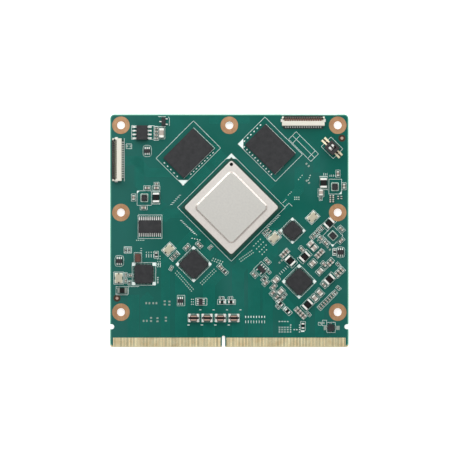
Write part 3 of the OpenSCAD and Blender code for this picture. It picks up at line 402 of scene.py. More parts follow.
def make_finishes(scene):
    """All the finishes of the module, by the record's slot names and a few of the looks' own"""
    SHADERS.update(tone=tone_group(), grain=grain_group(), region=region_group(), outline=outline_group(),
                   brushed=brushed_group())
    board, ink, lid = scene.module_board, scene.module_print, scene.module_lid
    mould = dict(drift=700.0, amount=0.8, rough=0.52, spread=0.25, grain=5000.0, bump=0.3, specular=0.3)
    FINISHES.update(
        solder_mask=mask_finish(board),
        covered_copper=finish("covered_copper", tint(18, 114, 100), tint(0, 98, 86), rough=0.4, bump=0.04,
                              specular=0.12),
        copper=drawn_finish("copper", tint(184, 144, 106), (1.0, 0.2, 1.0), 1500.0, 0.42, 0.35,
                            tint(160, 114, 78)),
        gold_contact=drawn_finish("gold_contact", tint(255, 242, 198), (1.0, 0.02, 1.0), 1300.0, 0.4, 0.35,
                                  tint(232, 200, 146), 0.62),
        tin=finish("tin", tint(236, 238, 234), tint(210, 212, 208), drift=1400.0, rough=0.34, metal=0.4,
                   grain=6000.0, bump=0.15),
        cream_tin=finish("cream_tin", tint(246, 236, 204), tint(226, 216, 184), drift=1400.0, rough=0.36,
                         metal=0.3, bump=0.15),
        bright_tin=finish("bright_tin", tint(246, 246, 240), tint(226, 226, 220), drift=1400.0, rough=0.36,
                          metal=0.3, grain=6000.0, bump=0.15),
        chip_end=finish("chip_end", tint(218, 220, 212), tint(190, 194, 186), drift=1400.0, rough=0.4,
                        metal=0.3, bump=0.15),
        chip_solder=finish("chip_solder", tint(138, 146, 138), tint(112, 124, 116), drift=2200.0,
                           rough=0.4, metal=0.3, bump=0.3),
        dull_land=finish("dull_land", tint(150, 166, 156), tint(124, 140, 130), drift=1600.0, rough=0.45,
                         metal=0.2, bump=0.2),
        bright_land=finish("bright_land", tint(200, 222, 210), tint(176, 200, 188), drift=1600.0, rough=0.45,
                           metal=0.2, bump=0.2),
        # Dark brown of the rings round the fiducials and of the crystal gaps, also used as painted shade between
        # the switch leads
        pit=finish("pit", tint(66, 48, 36), tint(52, 38, 28), drift=900.0, rough=0.6, specular=0.2),
        solder=finish("solder", tint(205, 206, 204), tint(160, 162, 162), drift=2200.0, rough=0.32,
                      metal=0.6, grain=3000.0, bump=0.3),
        lid_metal=finish("lid_metal", tuple(lid.metal), tint(189, 187, 182), drift=1500.0, amount=0.6,
                         rough=0.44, spread=0.12, metal=0.3, grain=3600.0, bump=0.3),
        lid_rim=finish("lid_rim", tint(218, 212, 206), tint(204, 199, 193), drift=1500.0, amount=0.6,
                       rough=0.4, spread=0.12, metal=0.3, grain=3600.0, bump=0.2),
        lid_slope=finish("lid_slope", tint(204, 196, 189), tint(192, 184, 177), drift=1500.0, rough=0.24,
                         spread=0.1, metal=0.85, bump=0.1),
        substrate_laminate=finish("substrate_laminate", tint(22, 64, 54), tint(32, 78, 66), rough=0.5,
                                  specular=0.3),
        silicon=finish("silicon", tint(70, 74, 84), tint(84, 86, 96), rough=0.15, metal=0.4),
        mould_compound=finish("mould_compound", tint(36, 37, 39), tint(50, 50, 52), **mould),
        ferrite=finish("ferrite", tint(9, 8, 8), tint(20, 18, 18), drift=900.0, rough=0.6, grain=5000.0,
                       bump=0.35, specular=0.25),
        enamelled_wire=drawn_finish("enamelled_wire", tint(122, 74, 48), (0.2, 1.0, 1.0), 3000.0, 0.3, 0.3,
                                    tint(96, 56, 38)),
        crystal_ceramic=finish("crystal_ceramic", tint(214, 212, 190), tint(196, 192, 168), rough=0.55),
        crystal_lid=finish("crystal_lid", tint(196, 190, 168), tint(178, 170, 150), drift=500.0, rough=0.42,
                           metal=0.35, bump=0.12),
        capacitor_ceramic=finish("capacitor_ceramic", tint(156, 144, 134), tint(126, 114, 106), drift=420.0,
                                 amount=0.9, rough=0.55, bump=0.15),
        pale_ceramic=finish("pale_ceramic", tint(176, 164, 154), tint(156, 146, 136), drift=420.0, rough=0.55,
                            bump=0.15),
        brown_ceramic=finish("brown_ceramic", tint(92, 54, 42), tint(62, 44, 38), drift=900.0, rough=0.55,
                             bump=0.2),
        bright_end=finish("bright_end", tint(236, 238, 230), tint(214, 216, 208), drift=1400.0, rough=0.38,
                          metal=0.3, bump=0.15),
        warm_land=finish("warm_land", tint(184, 154, 140), tint(160, 134, 120), drift=1600.0, rough=0.5,
                         metal=0.2, bump=0.2),
        resistor_glass=finish("resistor_glass", tint(40, 40, 42), tint(58, 56, 58), drift=600.0, rough=0.3),
        socket_plastic=finish("socket_plastic", tint(220, 217, 203), tint(212, 209, 194), drift=240.0,
                              rough=0.5, bump=0.08),
        flap_plastic=finish("flap_plastic", tint(44, 44, 40), tint(34, 34, 31), drift=260.0, rough=0.46,
                            bump=0.12, specular=0.3),
        side_contact=finish("side_contact", tint(140, 138, 120), tint(112, 110, 94), drift=900.0, rough=0.4,
                            metal=0.45),
        top_contact=finish("top_contact", tint(150, 108, 94), tint(120, 84, 72), drift=900.0, rough=0.4,
                           metal=0.45),
        switch_plastic=finish("switch_plastic", tint(36, 33, 35), tint(46, 43, 45), drift=400.0, rough=0.45,
                              bump=0.12),
        slide_plastic=finish("slide_plastic", tint(238, 238, 234), tint(224, 224, 220), drift=500.0,
                             rough=0.4, bump=0.06),
        print_ink=finish("print_ink", tuple(ink.ink), tint(212, 234, 226), drift=900.0, amount=0.5,
                         rough=0.6, bump=0.2),
        dark_ink=finish("dark_ink", tint(12, 10, 10), tint(20, 18, 18), rough=0.6, specular=0.2),
        # Painted shade: dark green laid on the board under the connector tails and the wide chip's leads
        well=finish("well", tint(14, 46, 40), tint(8, 34, 30), rough=0.6),
    )


# ---- Geometry trees


def soft_box_tree():
    """Box with rounded edges"""
    tree, given, result = new_tree("Soft box", "GeometryNodeTree", [
        ("Size", "NodeSocketVector", (0.001, 0.001, 0.001)), ("Radius", "NodeSocketFloat", 0.00005)],
        [("Mesh", "NodeSocketGeometry")])
    cube = add(tree, "GeometryNodeMeshCube", {"Size": given["Size"], "Vertices X": 4, "Vertices Y": 4,
                                              "Vertices Z": 4})
    place = add(tree, "GeometryNodeInputPosition").outputs[0]
    half = vector(tree, "SCALE", given["Size"], 0.5)
    side = vector(tree, "SIGN", place)
    shrink = add(tree, "ShaderNodeCombineXYZ", {0: given["Radius"], 1: given["Radius"],
                                                2: given["Radius"]}).outputs[0]
    core = vector(tree, "MULTIPLY", side, vector(tree, "SUBTRACT", half, shrink))
    outer = vector(tree, "SUBTRACT", vector(tree, "ABSOLUTE", place), vector(tree, "SCALE", half, 0.5))
    mask = vector(tree, "MAXIMUM", vector(tree, "SIGN", outer), (0, 0, 0))
    away = vector(tree, "NORMALIZE", vector(tree, "MULTIPLY", side, mask))
    radial = add(tree, "ShaderNodeVectorMath", {0: away, "Scale": given["Radius"]}, operation="SCALE")
    moved = add(tree, "GeometryNodeSetPosition", {"Geometry": cube.outputs["Mesh"],
                                                  "Position": vector(tree, "ADD", core, radial.outputs[0])})
    tree.links.new(moved.outputs[0], result["Mesh"])
    return tree


def wedge_tree():
    """Solder that stands on its widest face and narrows upwards, with its base at height 0"""
    tree, given, result = new_tree("Solder wedge", "GeometryNodeTree", [
        ("Size", "NodeSocketVector", (0.001, 0.001, 0.001)), ("Top share", "NodeSocketFloat", 0.6)],
        [("Mesh", "NodeSocketGeometry")])
    cube = add(tree, "GeometryNodeMeshCube", {"Size": given["Size"], "Vertices X": 2, "Vertices Y": 2,
                                              "Vertices Z": 2})
    place = add(tree, "GeometryNodeInputPosition").outputs[0]
    parts = add(tree, "ShaderNodeSeparateXYZ", {0: place})
    above = maths(tree, "GREATER_THAN", parts.outputs[2], 0.0)
    share = add(tree, "ShaderNodeMapRange", {"Value": above, "To Min": 1.0})
    tree.links.new(given["Top share"], share.inputs["To Max"])
    scale = add(tree, "ShaderNodeCombineXYZ", {0: share.outputs[0], 1: share.outputs[0], 2: 1.0})
    lift = vector(tree, "MULTIPLY", given["Size"], (0.0, 0.0, 0.5))
    moved = add(tree, "GeometryNodeSetPosition", {
        "Geometry": cube.outputs["Mesh"],
        "Position": vector(tree, "ADD", vector(tree, "MULTIPLY", place, scale.outputs[0]), lift)})
    tree.links.new(moved.outputs[0], result["Mesh"])
    return tree


SHAPES = {}


def shape(tree, name, feed, offset=None):
    """Places a shared geometry group, moved by an offset where one is given"""
    node = add(tree, "GeometryNodeGroup")
    node.node_tree = SHAPES[name]
    for key, value in feed.items():
        if isinstance(value, bpy.types.NodeSocket):
            tree.links.new(value, node.inputs[key])
        else:
            node.inputs[key].default_value = value
    if offset is None:
        return node.outputs[0]
    return add(tree, "GeometryNodeTransform", {"Geometry": node.outputs[0], "Translation": offset}).outputs[0]


def tagged(tree, mesh, number):
    """Marks faces with the number of their finish"""
    return add(tree, "GeometryNodeStoreNamedAttribute", {"Geometry": mesh, "Name": "finish", "Value": number},
               data_type="INT", domain="FACE").outputs[0]


def named(tree, name, kind):
    return add(tree, "GeometryNodeInputNamedAttribute", {"Name": name}, data_type=kind).outputs["Attribute"]


def painted(tree, mesh, materials):
    """Realizes the pieces, then gives each face the finish of its number"""
    mesh = add(tree, "GeometryNodeRealizeInstances", {"Geometry": mesh}).outputs[0]
    for number, material in enumerate(materials):
        chosen = add(tree, "FunctionNodeCompare", {2: named(tree, "finish", "INT"), 3: number},
                     data_type="INT", operation="EQUAL").outputs[0]
        mesh = add(tree, "GeometryNodeSetMaterial", {"Geometry": mesh, "Selection": chosen,
                                                     "Material": material}).outputs[0]
    return mesh


def chip_tree():
    """Chip parts at points: a body between two plated ends that stand in solder"""
    tree, given, result = new_tree("Chip parts", "GeometryNodeTree", [
        ("Points", "NodeSocketGeometry", None), ("Length", "NodeSocketFloat", 0.001),
        ("Width", "NodeSocketFloat", 0.0005), ("Height", "NodeSocketFloat", 0.0005),
        ("End", "NodeSocketFloat", 0.00025), ("Edge", "NodeSocketFloat", 0.00005),
        ("Flare", "NodeSocketFloat", 0.0002), ("Over", "NodeSocketFloat", 0.0),
        ("Body finish", "NodeSocketMaterial", None), ("End finish", "NodeSocketMaterial", None),
        ("Solder finish", "NodeSocketMaterial", None)], [("Mesh", "NodeSocketGeometry")])
    step = 0.04 * MM
    half_height = maths(tree, "MULTIPLY", given["Height"], 0.5)
    middle = add(tree, "ShaderNodeCombineXYZ", {2: half_height}).outputs[0]
    body_size = add(tree, "ShaderNodeCombineXYZ", {0: maths(tree, "SUBTRACT", given["Length"], given["End"]),
                                                   1: maths(tree, "SUBTRACT", given["Width"], step),
                                                   2: maths(tree, "SUBTRACT", given["Height"], step)})
    body = shape(tree, "soft_box", {"Size": body_size.outputs[0], "Radius": given["Edge"]}, middle)
    reach = maths(tree, "MULTIPLY", maths(tree, "SUBTRACT", given["Length"], given["End"]), 0.5)
    end_size = add(tree, "ShaderNodeCombineXYZ", {0: given["End"], 1: given["Width"], 2: given["Height"]})
    pad_size = add(tree, "ShaderNodeCombineXYZ", {0: maths(tree, "ADD", given["End"], given["Flare"]),
                                                  1: maths(tree, "ADD", given["Width"], given["Flare"]),
                                                  2: half_height})
    join = add(tree, "GeometryNodeJoinGeometry")
    tree.links.new(tagged(tree, body, 0), join.inputs[0])
    for side in (-1, 1):
        along = maths(tree, "MULTIPLY", reach, side)
        spot = add(tree, "ShaderNodeCombineXYZ", {0: along, 2: half_height}).outputs[0]
        foot = add(tree, "ShaderNodeCombineXYZ", {0: along}).outputs[0]
        end = shape(tree, "soft_box", {"Size": end_size.outputs[0], "Radius": given["Edge"]}, spot)
        pad = shape(tree, "wedge", {"Size": pad_size.outputs[0], "Top share": 0.72}, foot)
        tree.links.new(tagged(tree, end, 1), join.inputs[0])
        tree.links.new(tagged(tree, pad, 2), join.inputs[0])
    turn = add(tree, "ShaderNodeCombineXYZ", {0: given["Over"], 2: named(tree, "turn", "FLOAT")})
    spread = add(tree, "GeometryNodeInstanceOnPoints", {"Points": given["Points"],
                                                        "Instance": join.outputs[0],
                                                        "Rotation": turn.outputs[0]})
    tree.links.new(painted(tree, spread.outputs[0], [given["Body finish"], given["End finish"],
                                                     given["Solder finish"]]), result["Mesh"])
    return tree


def mark_tree():
    """Flat marks at points, each with its own size and turn: oblong, or round where Round is on"""
    tree, given, result = new_tree("Flat marks", "GeometryNodeTree", [
        ("Points", "NodeSocketGeometry", None), ("Round", "NodeSocketBool", False),
        ("Finish", "NodeSocketMaterial", None)], [("Mesh", "NodeSocketGeometry")])
    block = add(tree, "GeometryNodeMeshCube", {"Size": (1, 1, 1)})
    disc = add(tree, "GeometryNodeMeshCylinder", {"Vertices": 12, "Radius": 0.5, "Depth": 1.0})
    chosen = add(tree, "GeometryNodeSwitch", {"Switch": given["Round"], "False": block.outputs["Mesh"],
                                              "True": disc.outputs["Mesh"]}, input_type="GEOMETRY")
    turn = add(tree, "ShaderNodeCombineXYZ", {2: named(tree, "turn", "FLOAT")})
    spread = add(tree, "GeometryNodeInstanceOnPoints", {"Points": given["Points"],
                                                        "Instance": chosen.outputs[0],
                                                        "Rotation": turn.outputs[0],
                                                        "Scale": named(tree, "size", "FLOAT_VECTOR")})
    real = add(tree, "GeometryNodeRealizeInstances", {"Geometry": spread.outputs[0]})
    made = add(tree, "GeometryNodeSetMaterial", {"Geometry": real.outputs[0], "Material": given["Finish"]})
    tree.links.new(made.outputs[0], result["Mesh"])
    return tree


def joint_tree():
    """Solder at points, each with its own size and turn"""
    tree, given, result = new_tree("Solder joints", "GeometryNodeTree", [
        ("Points", "NodeSocketGeometry", None), ("Top share", "NodeSocketFloat", 0.6),
        ("Finish", "NodeSocketMaterial", None)], [("Mesh", "NodeSocketGeometry")])
    wedge = shape(tree, "wedge", {"Size": (1, 1, 1), "Top share": given["Top share"]})
    turn = add(tree, "ShaderNodeCombineXYZ", {2: named(tree, "turn", "FLOAT")})
    spread = add(tree, "GeometryNodeInstanceOnPoints", {"Points": given["Points"], "Instance": wedge,
                                                        "Rotation": turn.outputs[0],
                                                        "Scale": named(tree, "size", "FLOAT_VECTOR")})
    real = add(tree, "GeometryNodeRealizeInstances", {"Geometry": spread.outputs[0]})
    made = add(tree, "GeometryNodeSetMaterial", {"Geometry": real.outputs[0], "Material": given["Finish"]})
    tree.links.new(made.outputs[0], result["Mesh"])
    return tree


def line_tree():
    """Flat raised lines along the edges of a drawing"""
    tree, given, result = new_tree("Drawn lines", "GeometryNodeTree", [
        ("Drawing", "NodeSocketGeometry", None), ("Width", "NodeSocketFloat", 0.00015),
        ("Thickness", "NodeSocketFloat", 0.000012), ("Corner", "NodeSocketFloat", 0.0001),
        ("Finish", "NodeSocketMaterial", None)], [("Mesh", "NodeSocketGeometry")])
    curve = add(tree, "GeometryNodeMeshToCurve", {"Mesh": given["Drawing"]})
    eased = add(tree, "GeometryNodeFilletCurve", {"Curve": curve.outputs[0], "Radius": given["Corner"],
                                                  "Count": 2, "Limit Radius": True}, mode="POLY")
    upright = add(tree, "GeometryNodeSetCurveNormal", {"Curve": eased.outputs[0]}, mode="Z_UP")
    ribbon = add(tree, "GeometryNodeCurvePrimitiveQuadrilateral", {"Width": given["Width"],
                                                                   "Height": given["Thickness"]})
    swept = add(tree, "GeometryNodeCurveToMesh", {"Curve": upright.outputs[0],
                                                  "Profile Curve": ribbon.outputs[0], "Fill Caps": True})
    real = add(tree, "GeometryNodeRealizeInstances", {"Geometry": swept.outputs[0]})
    made = add(tree, "GeometryNodeSetMaterial", {"Geometry": real.outputs[0], "Material": given["Finish"]})
    tree.links.new(made.outputs[0], result["Mesh"])
    return tree


def make_shapes():
    for name, build in (("soft_box", soft_box_tree), ("wedge", wedge_tree), ("chips", chip_tree),
                        ("marks", mark_tree), ("joints", joint_tree), ("lines", line_tree)):
        SHAPES[name] = build()


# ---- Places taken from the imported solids


def solids_of(node):
    """Corner points of each separate solid of a node"""
    mesh = NODES[node].data
    keys = [tuple(round(c * 1e7) for c in v.co) for v in mesh.vertices]
    parent = {key: key for key in keys}

    def root(key):
        while parent[key] != key:
            parent[key] = parent[parent[key]]
            key = parent[key]
        return key

    for face in mesh.polygons:
        first = root(keys[face.vertices[0]])
        for index in face.vertices[1:]:
            other = root(keys[index])
            if other != first:
                parent[other] = first
    groups = {}
    for key in parent:
        groups.setdefault(root(key), []).append(Vector(key) * 1e-7)
    return sorted(groups.values(), key=lambda g: (round(g[0].x, 6), round(g[0].y, 6), round(g[0].z, 6)))


def plan_box(points):
    """Smallest upright box round the points, as centre, length, width, height and turn"""
    best = None
    for turn in range(0, 90, 15):
        c, s = math.cos(math.radians(turn)), math.sin(math.radians(turn))
        us = [p.x * c + p.y * s for p in points]
        vs = [p.y * c - p.x * s for p in points]
        area = (max(us) - min(us)) * (max(vs) - min(vs))
        if best is None or area < best[0] - 1e-12:
            best = (area, turn, c, s, min(us), max(us), min(vs), max(vs))
    _, turn, c, s, u0, u1, v0, v1 = best
    u, v = (u0 + u1) / 2, (v0 + v1) / 2
    long, wide = u1 - u0, v1 - v0
    if wide > long:
        long, wide, turn = wide, long, turn + 90
    zs = [p.z for p in points]
    return {"at": Vector((u * c - v * s, u * s + v * c, min(zs))), "long": long, "wide": wide,
            "high": max(zs) - min(zs), "turn": math.radians(turn)}


# ---- Pieces


def settle(piece, body="module"):
    """Turns faces outwards and lets the piece ride on its body"""
    shell = bmesh.new()
    shell.from_mesh(piece.data)
    bmesh.ops.recalc_face_normals(shell, faces=shell.faces)
    shell.to_mesh(piece.data)
    shell.free()
    for name in ("turn", "size", "finish"):
        if name in piece.data.attributes:
            piece.data.attributes.remove(piece.data.attributes[name])
    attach(piece, body)
    return piece


def cloud(name, places):
    """Points with the size and the turn of what stands there"""
    mesh = bpy.data.meshes.new(name)
    mesh.from_pydata([p[0] for p in places], [], [])
    mesh.attributes.new("turn", "FLOAT", "POINT").data.foreach_set("value", [p[2] for p in places])
    sizes = mesh.attributes.new("size", "FLOAT_VECTOR", "POINT")
    sizes.data.foreach_set("vector", [c for p in places for c in p[1]])
    return mesh


def grown(name, seed, tree, values, body="module"):
    """Runs a geometry tree on a seed mesh and keeps the result as a plain mesh"""
    piece = bpy.data.objects.new(name, seed)
    bpy.context.scene.collection.objects.link(piece)
    modifier = piece.modifiers.new("Grow", "NODES")
    modifier.node_group = SHAPES[tree]
    sockets = {s.name: s.identifier for s in SHAPES[tree].interface.items_tree
               if s.item_type == "SOCKET" and s.in_out == "INPUT"}
    for label, value in values.items():
        modifier[sockets[label]] = value
    graph = bpy.context.evaluated_depsgraph_get()
    mesh = bpy.data.meshes.new_from_object(piece.evaluated_get(graph))
    piece.modifiers.remove(modifier)
    piece.data = mesh
    return settle(piece, body)


def marks(name, places, finish_name, round_marks=False, body="module"):
    """Flat marks, given as centre, size and turn"""
    return grown(name, cloud(name, places), "marks", {"Round": round_marks,
                                                      "Finish": FINISHES[finish_name]}, body)


def lines(name, paths, width, rise, finish_name, corner=0.1, slot=None):
    """Raised lines along paths of points in metres, each with whether it is closed"""
    mesh = bpy.data.meshes.new(name)
    points, edges = [], []
    for path, closed in paths:
        start = len(points)
        points += path
        edges += [(start + i, start + i + 1) for i in range(len(path) - 1)]
        if closed:
            edges.append((start + len(path) - 1, start))
    mesh.from_pydata(points, edges, [])
    return grown(name, mesh, "lines", {"Width": width, "Thickness": rise, "Corner": corner * MM,
                                       "Finish": FINISHES[finish_name]})


def plates(name, outlines, base, rise, finish_name):
    """Thin plates with the given outlines, in millimetres, standing on a height"""
    shell = bmesh.new()
    for outline in outlines:
        face = shell.faces.new([shell.verts.new((x * MM, y * MM, base)) for x, y in outline])
        raised = bmesh.ops.extrude_face_region(shell, geom=[face])
        top = [v for v in raised["geom"] if isinstance(v, bmesh.types.BMVert)]
        bmesh.ops.translate(shell, verts=top, vec=(0, 0, rise))
    mesh = bpy.data.meshes.new(name)
    shell.to_mesh(mesh)
    shell.free()
    mesh.materials.append(FINISHES[finish_name])
    piece = bpy.data.objects.new(name, mesh)
    bpy.context.scene.collection.objects.link(piece)
    return settle(piece)


def softened(node, piece_name, width, finish_name, steps=2, body="module"):
    """Copy of a node's solids with rounded edges, which stands for the node"""
    shell = bmesh.new()
    shell.from_mesh(NODES[node].data)
    bmesh.ops.remove_doubles(shell, verts=shell.verts, dist=1e-7)
    bmesh.ops.dissolve_limit(shell, angle_limit=math.radians(1), verts=shell.verts, edges=shell.edges)
    mesh = bpy.data.meshes.new(piece_name)
    shell.to_mesh(mesh)
    shell.free()
    mesh.materials.clear()
    mesh.materials.append(FINISHES[finish_name])
    piece = bpy.data.objects.new(piece_name, mesh)
    bpy.context.scene.collection.objects.link(piece)
    rounding = piece.modifiers.new("Rounding", "BEVEL")
    rounding.width = width
    rounding.segments = steps
    rounding.limit_method = "ANGLE"
    rounding.angle_limit = math.radians(35)
    graph = bpy.context.evaluated_depsgraph_get()
    piece.data = bpy.data.meshes.new_from_object(piece.evaluated_get(graph))
    piece.modifiers.clear()
    settle(piece, body)
    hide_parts(node)
    return piece


def box_path(x, y, long, wide, turn, height):
    """Corners of an oblong in millimetres, turned in degrees, as points in metres"""
    c, s = math.cos(math.radians(turn)), math.sin(math.radians(turn))
    corners = [(u * long / 2, v * wide / 2) for u, v in ((-1, -1), (1, -1), (1, 1), (-1, 1))]
    return [((x + u * c - v * s) * MM, (y + u * s + v * c) * MM, height) for u, v in corners]


def spots(rows, base, rise):
    """Centre, size and turn of each mark in rows of x, y, step x, step y, count, length, width, turn"""
    return [(((x + i * dx) * MM, (y + i * dy) * MM, base + rise / 2), (long * MM, wide * MM, rise),
             math.radians(turn))
            for x, y, dx, dy, count, long, wide, turn in rows for i in range(count)]


# Printed oblongs on the board, in millimetres: x, y, length, width, turn
PRINTED_BOXES = [
    (0.7, 8, 26.2, 26.2, 45), (-14.1, 26.65, 18.2, 13.2, 45), (14.05, 28, 18.2, 13.1, -45),
    (-32.55, 33.75, 2.1, 4.7, 0), (-26.8, 33.75, 2.1, 4.7, 0), (-29.25, 11.2, 4.9, 5, 0),
    (-25.2, 11.4, 2.8, 4.2, 0), (-27.25, 1.35, 8.2, 8.1, 0), (-29.35, -14.85, 8.1, 7.8, 0),
    (-12.25, -11.5, 8.8, 8.8, 45), (24, -17.45, 8.4, 8.4, 45), (21.7, 0, 6.4, 6.4, 45),
    (34.95, -33.25, 2.9, 3.5, 0), (32.7, -31.7, 1.5, 1.9, 0), (31.1, -32, 1.1, 1, 0), (36.4, 15.15, 4.4, 5.1, 0),
    (32.4, 16.4, 2.8, 4.2, 0), (35.6, -1.7, 4.9, 4.9, 45), (35.3, 28.5, 5.8, 4.7, -45),
    (25.5, 28.9, 10.8, 3.7, -45), (-38, -16.3, 3.4, 4.2, 0), (-20.8, -6.4, 4.1, 3.2, 45),
    (28.6, 4.6, 4.1, 3.2, 45), (15.4, -2.5, 4.1, 3.2, 45), (-16.6, -24, 2.6, 3.6, 0),
    (-9.65, -24.4, 3.9, 2.4, 0), (36.2, -7.3, 1.2, 2.3, 0), (11, -13.2, 3.8, 3.8, 45),
    (-36.9, -21, 4.1, 2.1, 0), (-34.5, 29, 1.9, 1.6, 0), (-34.9, -6.6, 2.6, 2.2, 0),
    (33.4, -24.2, 7.6, 1.75, 45), (24.4, -28.3, 4.8, 1.75, -45), (-18.8, -8.7, 3.6, 1.75, 45),
    (31, -7.9, 3.6, 1.75, 45), (19, -7.8, 3.6, 1.75, 45), (37.85, -14.25, 3.9, 2.2, 45),
    (-25.1, 33.45, 1.75, 4.8, 0), (28.6, -5.2, 3.6, 2.4, -45), (34.1, -11.2, 4.2, 1.7, 45),
]
# Printed oblongs with rounded corners
ROUNDED_BOXES = [(38.2, -7.4, 2.9, 3.7, 0), (-37.8, -10.4, 3, 3.8, 0), (-28.2, 27.4, 2.9, 3.9, 0)]
# Other printed lines, as points in millimetres
PRINTED_LINES = [
    [(-36.1, 17), (-36.1, 31.8)], [(17.9, 39.8), (37, 39.8)],
    [(-39, -19.2), (-31, -19.2)], [(21.7, 32.7), (29.3, 25.1)], [(24.3, 32.7), (21.7, 30)],
    [(29.5, 27.5), (26.9, 24.8)], [(19.2, 8.2), (20.5, 9.5)], [(20.5, 9.5), (21.6, 8.4)],
    [(18.3, 9.5), (19.6, 10.8)], [(-10.2, -4), (-9.2, -5), (-10.3, -6)],
    [(-24.4, 39.2), (-21.8, 39.2)], [(-24.4, 35.8), (-21.8, 35.8)],
    [(-20.9, 39.2), (-20.6, 38.6), (-20.6, 36)],
    [(-12.3, 35.4), (-5, 28.4), (-15.7, 17.9)], [(12.5, 36.7), (22.7, 26.7), (15.7, 19.3)],
]
# Printed corner marks, as triangles in millimetres
PRINTED_CORNERS = [
    [(0.7, 26.5), (-1.1, 24.7), (2.5, 24.7)], [(-16, 15.5), (-14.2, 17.4), (-17.7, 17.4)],
    [(2.9, 29.8), (4.8, 28), (4.8, 31.5)], [(-31.7, 13.7), (-31.7, 12.8), (-30.8, 13.7)],
    [(38.6, 12.6), (38.6, 13.6), (37.6, 12.6)], [(35.5, -5.6), (34.8, -4.7), (36.2, -4.7)],
]
# Middle, half size and turn of the printed frames whose corners are filled
FILLED_FRAMES = [(-29.35, -14.85, 4.05, 3.9, 0, 1.15), (-12.25, -11.5, 4.4, 4.4, 45, 1.1),
                 (24, -17.45, 4.2, 4.2, 45, 1.1), (21.7, 0, 3.2, 3.2, 45, 0.95)]
# Printed ticks and dots: x, y, step x, step y, count, length, width, turn
PRINTED_TICKS = [
    (-5.6, 26.8, -0.95, -0.92, 9, 0.55, 0.3, 45), (-22.3, 23.3, 1.1, -1.15, 5, 0.5, 0.35, -45),
    (5.1, 28.8, 0.94, -0.94, 11, 0.5, 0.32, 45), (5.2, 30.8, 1.1, 1.1, 6, 0.5, 0.35, 45),
    (-19.9, 9, 0.58, 0.64, 6, 0.8, 0.14, 0), (-16.5, 3.5, 0.5, -0.5, 10, 0.7, 0.14, 0),
    (13, 1, 0.52, 0.52, 9, 0.7, 0.14, 0), (-13.5, 0.8, 0.55, -0.55, 5, 0.4, 0.16, 0),
    (-12.8, -2.6, 0.9, -0.2, 4, 0.3, 0.3, 45), (-30.3, -6.1, 0, -0.8, 3, 0.5, 0.14, 0),
    (-28.5, -8.6, 0.83, 0, 4, 0.14, 1.2, 0), (-25.1, -11.6, 0.7, 0, 3, 0.14, 1.2, 0),
    (-24.6, -16.1, 0, -0.6, 4, 0.5, 0.2, 0), (-1.3, -24.4, 2.9, 0, 2, 0.35, 1.4, 0),
    (5.6, -29.6, 0.93, 0, 8, 0.28, 0.65, 0), (5.6, -31.3, 0.93, 0, 8, 0.16, 0.9, 0),
    (25.2, -34.5, 0, 0, 1, 1.2, 0.55, 0), (19, -26.6, 0, 0, 1, 1.2, 0.5, 45),
    (16.6, -24.1, 0, 0, 1, 1, 0.35, 45), (17.4, -14.8, 0.65, 0.6, 5, 0.9, 0.14, -45),
    (32.4, 19.4, 0.6, 0, 3, 0.12, 0.8, 0), (34.6, 18.9, 0.6, 0, 5, 0.12, 0.7, 0),
    (-10, -27.2, 4.6, 0, 4, 0.7, 0.2, 0), (-14, -32.4, 4.6, 0, 4, 0.8, 0.25, 0),
    (-13, -23.6, 0, -0.85, 3, 0.25, 0.25, 0), (-12.4, -23.6, 0, -0.85, 3, 0.25, 0.25, 0),
    (17.2, -31.2, 0.96, 0, 4, 0.36, 0.32, 0), (17.2, -33.2, 0.96, 0, 5, 0.36, 0.32, 0),
    (17.2, -34, 0.96, 0, 5, 0.36, 0.32, 0), (22.3, -34, 0.9, 0, 2, 0.36, 0.32, 0),
    (17.2, -34.8, 0.96, 0, 5, 0.36, 0.32, 0), (24.1, -32.4, 0, -0.8, 4, 0.32, 0.32, 0),
    (21.1, -32.4, 0, 0, 1, 0.36, 0.32, 0),
]
# Bare plated lands: x, y, step x, step y, count, length, width, turn
BARE_LANDS = [
    (-31.8, -3.3, 0.6, 0, 5, 0.3, 0.3, 0), (-17.9, -13.9, 0.5, -0.56, 12, 0.3, 0.3, 45),
    (-18.5, -14.6, 0.5, -0.56, 12, 0.3, 0.3, 45), (-9.9, -17.9, 0.58, 0.58, 9, 0.3, 0.3, 45),
    (-9.3, -18.5, 0.58, 0.58, 9, 0.3, 0.3, 45), (-24.6, -8.8, 0, -0.9, 5, 0.3, 0.3, 0),
    (-23.8, -8.8, 0, -0.9, 5, 0.3, 0.3, 0), (-28.5, -7.4, 0.83, 0, 4, 0.3, 0.3, 0),
    (4, -10.5, 0.6, 0.42, 8, 0.3, 0.3, 45), (3.5, -9.8, 0.6, 0.42, 8, 0.3, 0.3, 45),
    (8.4, -5.2, 0.75, 0.75, 4, 0.35, 0.35, 45), (9.4, -6.2, 0.75, 0.75, 4, 0.35, 0.35, 45),
    (10.4, -7.2, 0.75, 0.75, 4, 0.35, 0.35, 45), (11.3, -8.1, 0.75, 0.75, 3, 0.35, 0.35, 45),
    (20.3, 12.3, 0.5, 0.5, 3, 0.3, 0.3, 45), (22.5, 11.5, 0.7, 0, 3, 0.35, 0.35, 0),
    (22.5, 10.8, 0.7, 0, 3, 0.35, 0.35, 0), (25, 19, -0.6, -0.7, 3, 0.3, 0.3, 45),
    (27.8, 19, -0.3, -0.8, 3, 0.4, 0.3, 45),
    (-5.5, -9.5, 0.8, -0.3, 5, 0.35, 0.35, 45), (-5.9, -10.2, 0.8, -0.3, 5, 0.35, 0.35, 45),
]
# Dull lands beside packages: x, y, step x, step y, count, length, width, turn
DULL_LANDS = [(32.9, -33.4, 0, 0, 1, 0.9, 1.5, 0), (37.3, -33.4, 0, 0, 1, 1.2, 1.4, 0)]
# Middle of the one brown part
BROWN_PLACE = (-31.4, -9.4)
